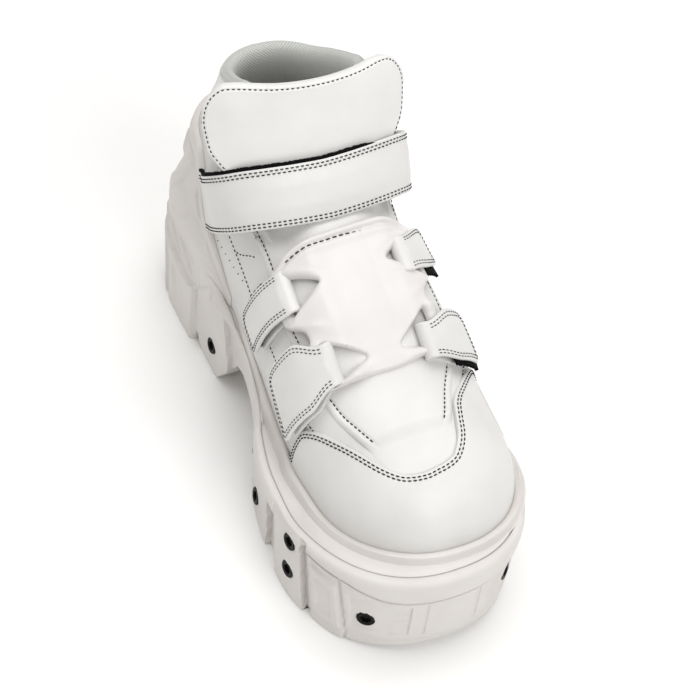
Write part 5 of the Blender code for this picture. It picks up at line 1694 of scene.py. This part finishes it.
def wall_inward(station, side):
    """Unit direction in plan from the wall's outline to the upper's foot, and how far
    that is; the two sides meet at the ends of the upper's middle line."""
    inner = UPPER_BACK + (UPPER_FRONT - UPPER_BACK) * station / SOLE_LENGTH
    foot = lifted(inner, 0.0, side, 0.0)[..., :2]
    swing = smooth(LAST["station"], LAST["swing"], inner)
    at_end = (np.asarray(station) <= 0.0) | (np.asarray(station) >= SOLE_LENGTH)
    foot[..., 1] = np.where(at_end, swing, foot[..., 1])
    away = foot - wall_outline(station, side)
    reach = np.maximum(np.linalg.norm(away, axis=-1), 1e-6)
    return away / reach[..., None], reach


def sole_side(side):
    """Rows from the middle of the seat, over bead, rim and rounded edge, down the
    wall and across the tread to the middle of the underside."""
    station = sole_columns(side)
    inner = UPPER_BACK + (UPPER_FRONT - UPPER_BACK) * station / SOLE_LENGTH
    swing = smooth(LAST["station"], LAST["swing"], inner)
    shelf = shelf_height(station)
    seat = feather_height(inner) - SOLE_GAP
    share = ease(station, BEAD_REAR - BEAD_BLEND, BEAD_REAR)
    start = (CAP_GAP + CAP_THICK) * ease(inner, 182.0, 198.0) + BEAD_OVERLAP

    def near_upper(distance, height):
        """Row at a distance outside the upper's foot, closed on the middle line."""
        row = lifted(inner, 0.0, side, distance)
        row[[0, -1], 1] = swing[[0, -1]]
        row[:, 2] = height
        return row

    foot_row = near_upper(np.zeros_like(inner), 0.0)
    outline = wall_outline(station, side)
    inward, reach = wall_inward(station, side)
    taper = HEEL_TAPER * (1 - ease(station, HEEL_TAPER_END - 60, HEEL_TAPER_END))
    # where the upper comes near the wall, bead, rim and edge all grow narrower
    room = np.clip((reach - start - 0.3) / (BEAD_WIDTH * share + 4.5 + EDGE_ROUND), 0.2, 1.0)

    def at_wall(inset, height):
        """Row at an inset from the wall's outline, at a height."""
        plan = outline + inward * (inset + np.zeros_like(station))[:, None]
        return np.concatenate([plan, (height + np.zeros_like(station))[:, None]], axis=1)

    middle = foot_row.copy()
    middle[:, 1] = swing
    middle[:, 2] = seat
    rows = [middle, near_upper(start - 0.6, seat - 0.5)]
    # the bead: a half round, then a quarter-round fillet down to the rim
    for angle in np.linspace(0.0, math.pi * 0.86, 11):
        across = start + 0.1 + (BEAD_WIDTH / 2) * (1 - math.cos(angle)) * share * room
        rows.append(near_upper(across, seat + BEAD_HEIGHT * share * math.sin(angle) ** 0.75
                               + (shelf - seat) * ease(angle, 1.6, 2.8)))
    rim_in = start + 0.1 + (BEAD_WIDTH + 0.9) * share * room + 0.2
    rows.append(near_upper(rim_in, shelf - 0.5 * share))
    rows.append(near_upper(rim_in + 0.8 * room, shelf - 0.15 * share))
    # the flat rim, the thin groove and the rounded edge, by inset from the wall
    edge = EDGE_ROUND * room
    inner_reach = np.minimum(RIM_GROOVE_INSET + taper, reach - rim_in - 1.6 * room)
    inner_reach = np.maximum(inner_reach, edge + taper + 1.2 * room)
    front = ease(station, 60.0, 130.0)
    for along, drop in ((0.9, 0.0), (0.32, 0.3), (0.12, 1.2), (-0.12, 1.2), (-0.32, 0.15),
                        (-0.8, -0.35), (-1.4, -0.55)):
        rows.append(at_wall(inner_reach + along * room, shelf - drop * (0.35 + 0.65 * front)))
    for angle in np.linspace(0.12, math.pi / 2, 9):
        lip = 0.5 * (0.35 + 0.65 * front) * (1 - ease(angle, 0.3, 1.4))
        height = shelf + lip - EDGE_ROUND * (1 - math.cos(angle))
        cut = (wall_inset(station, height, side) - taper) * ease(angle, 0.15, 0.9)
        rows.append(at_wall(taper + edge * (1 - math.sin(angle)) + cut, height))
    top = shelf - EDGE_ROUND
    tread = np.interp(station, TREAD["station"], TREAD["height"])
    foot = smooth(ROLL_FOOT["station"], ROLL_FOOT["height"], station)
    low = tread + TREAD_ROUND_HIGH
    levels = [top + (foot + 1.0 - top) * t for t in np.linspace(0.1, 1.0, 9)]
    levels += [foot + d for d in (0.4, 0.0, -0.4, -0.8, -1.3)]
    span = foot - 1.9 - low
    levels += [low + np.maximum(span, 0.5) * t for t in 1 - np.linspace(0.0, 1.0, 36)]
    for height in levels:
        height = np.minimum(height, top)
        rows.append(at_wall(wall_inset(station, height, side), height))
    foot_inset = wall_inset(station, low, side)
    for angle in np.linspace(0.3, math.pi / 2, 5):
        rows.append(at_wall(foot_inset + TREAD_ROUND_IN * (1 - math.cos(angle)),
                            tread + TREAD_ROUND_HIGH * (1 - math.sin(angle))))
    # the tread: chevron lugs, the same on both halves
    border = rows[-1].copy()
    for share_in in 1 - np.linspace(0.0, 1.0, 24)[1:]:
        row = border.copy()
        row[:, 1] = border[:, 1] * share_in
        chevron = (row[:, 0] + 0.45 * np.abs(row[:, 1])) / 15.0
        groove = 1 - ease(np.abs((chevron % 1.0) - 0.5), 0.10, 0.16)
        groove = groove * ease(np.abs(border[:, 1]) - np.abs(row[:, 1]), 4.0, 6.0)
        ground = 1 - ease(tread, 1.0, 7.0)
        row[:, 2] = tread + TREAD_CUT * groove * ground * ease(station, 8, 14)
        rows.append(row)
    rows[-1][:, 1] = 0.0
    return np.stack(rows)


sole_halves = [sole_side(MEDIAL), sole_side(LATERAL)]
sole_quads = [grid_quads(*sole_halves[0].shape[:2]),
              grid_quads(*sole_halves[1].shape[:2], sole_halves[0][..., 0].size, flip=True)]
sole_body = build("sole_body", np.concatenate([half.reshape(-1, 3) for half in sole_halves]),
                  np.concatenate(sole_quads), rubber, 38.0)
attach(sole_body, "root")
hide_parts("outsole")

# ------------------------------------------------------------------ the twelve screws
# Black oxide steel heads with a hexagon socket, let into seats in the sole's wall and
# standing a little over half a millimetre proud of it.

# tilt of a head's face upward, its lift off the wall, and how far to either side of it
# the wall is felt for
SCREW_TILT = 0.15
SCREW_PROUD = 0.15
SCREW_REACH = 5.2
# the head's profile: distance from its axis, height over the wall
SCREW_PROFILE = ((0.0, -1.7), (4.4, -1.7), (4.4, 0.12), (4.25, 0.38), (3.9, 0.5), (3.3, 0.5),
                 (3.1, 0.36), (2.5, 0.36), (2.35, 0.22), (2.25, -0.9), (1.2, -1.0), (0.0, -1.05))


def metal_finish():
    """Black oxide steel: dark, satin, with fine cloudy wear."""
    material = bpy.data.materials.new("black_oxide")
    material.use_nodes = True
    nodes = material.node_tree.nodes
    links = material.node_tree.links
    shader = nodes["Principled BSDF"]
    relief = nodes.new("ShaderNodeGroup")
    relief.node_tree = SURFACE_RELIEF
    relief.inputs["Pebble Size"].default_value = 0.0004
    relief.inputs["Pebble Share"].default_value = 0.2
    tint = nodes.new("ShaderNodeMix")
    tint.data_type = "RGBA"
    tint.inputs["A"].default_value = (0.0015, 0.0015, 0.0015, 1.0)
    tint.inputs["B"].default_value = (0.007, 0.007, 0.007, 1.0)
    links.new(relief.outputs["Height"], tint.inputs["Factor"])
    links.new(tint.outputs["Result"], shader.inputs["Base Color"])
    shine = nodes.new("ShaderNodeMapRange")
    shine.inputs["To Min"].default_value = 0.35
    shine.inputs["To Max"].default_value = 0.5
    links.new(relief.outputs["Height"], shine.inputs["Value"])
    links.new(shine.outputs["Result"], shader.inputs["Roughness"])
    shader.inputs["Metallic"].default_value = 0.0
    shader.inputs["Specular IOR Level"].default_value = 0.12
    return material


black_metal = metal_finish()


def screw_head(seat, outward):
    """Profile turned round the axis in 48 steps; within the socket the radius is the
    hexagon's, r cos(30) / cos(a mod 60 - 30)."""
    turn = np.arange(48) / 48 * 2 * math.pi
    profile = np.array(SCREW_PROFILE)
    hexagon = math.cos(math.pi / 6) / np.cos((turn % (math.pi / 3)) - math.pi / 6)
    in_socket = (profile[:, 0] < 2.4)[:, None]
    radius = profile[:, 0][:, None] * np.where(in_socket, hexagon[None, :] * 1.08, 1.0)
    aside = unit(np.cross([0.0, 0.0, 1.0], outward))
    upward = np.cross(outward, aside)
    points = (seat + outward * profile[:, 1][:, None, None]
              + aside * (radius * np.cos(turn))[..., None]
              + upward * (radius * np.sin(turn))[..., None])
    rows, columns = points.shape[:2]
    i, j = np.meshgrid(np.arange(rows - 1), np.arange(columns), indexing="ij")
    a = (i * columns + j).ravel()
    b = (i * columns + (j + 1) % columns).ravel()
    return points.reshape(-1, 3), np.stack([a, b, b + columns, a + columns], axis=1)


def wall_seat(station, height, side):
    """The wall's place between its two points beside a screw, and its normal there."""
    near = station + np.array([-SCREW_REACH, 0.0, SCREW_REACH])
    plan = wall_outline(near, side)
    inward, _ = wall_inward(near, side)
    beside = (plan + inward * wall_inset(near, height, side)[:, None])[[0, 2]]
    along = beside[1] - beside[0]
    outward = unit(np.array([-along[1] * side, along[0] * side,
                             SCREW_TILT * np.linalg.norm(along)]))
    depth = ((beside - plan[1]) @ outward[:2]).max() + SCREW_PROUD
    centre = plan[1] + inward[1] * depth / (inward[1] @ outward[:2])
    return np.array([*centre, height]), outward


for label, (station, height) in SCREWS.items():
    for side_name, side in (("medial", MEDIAL), ("lateral", LATERAL)):
        head = build(f"screw_{label}_{side_name}_head",
                     *screw_head(*wall_seat(station, height, side)), black_metal, 30.0)
        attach(head, "root")
        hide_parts(f"screw_{label}_{side_name}")
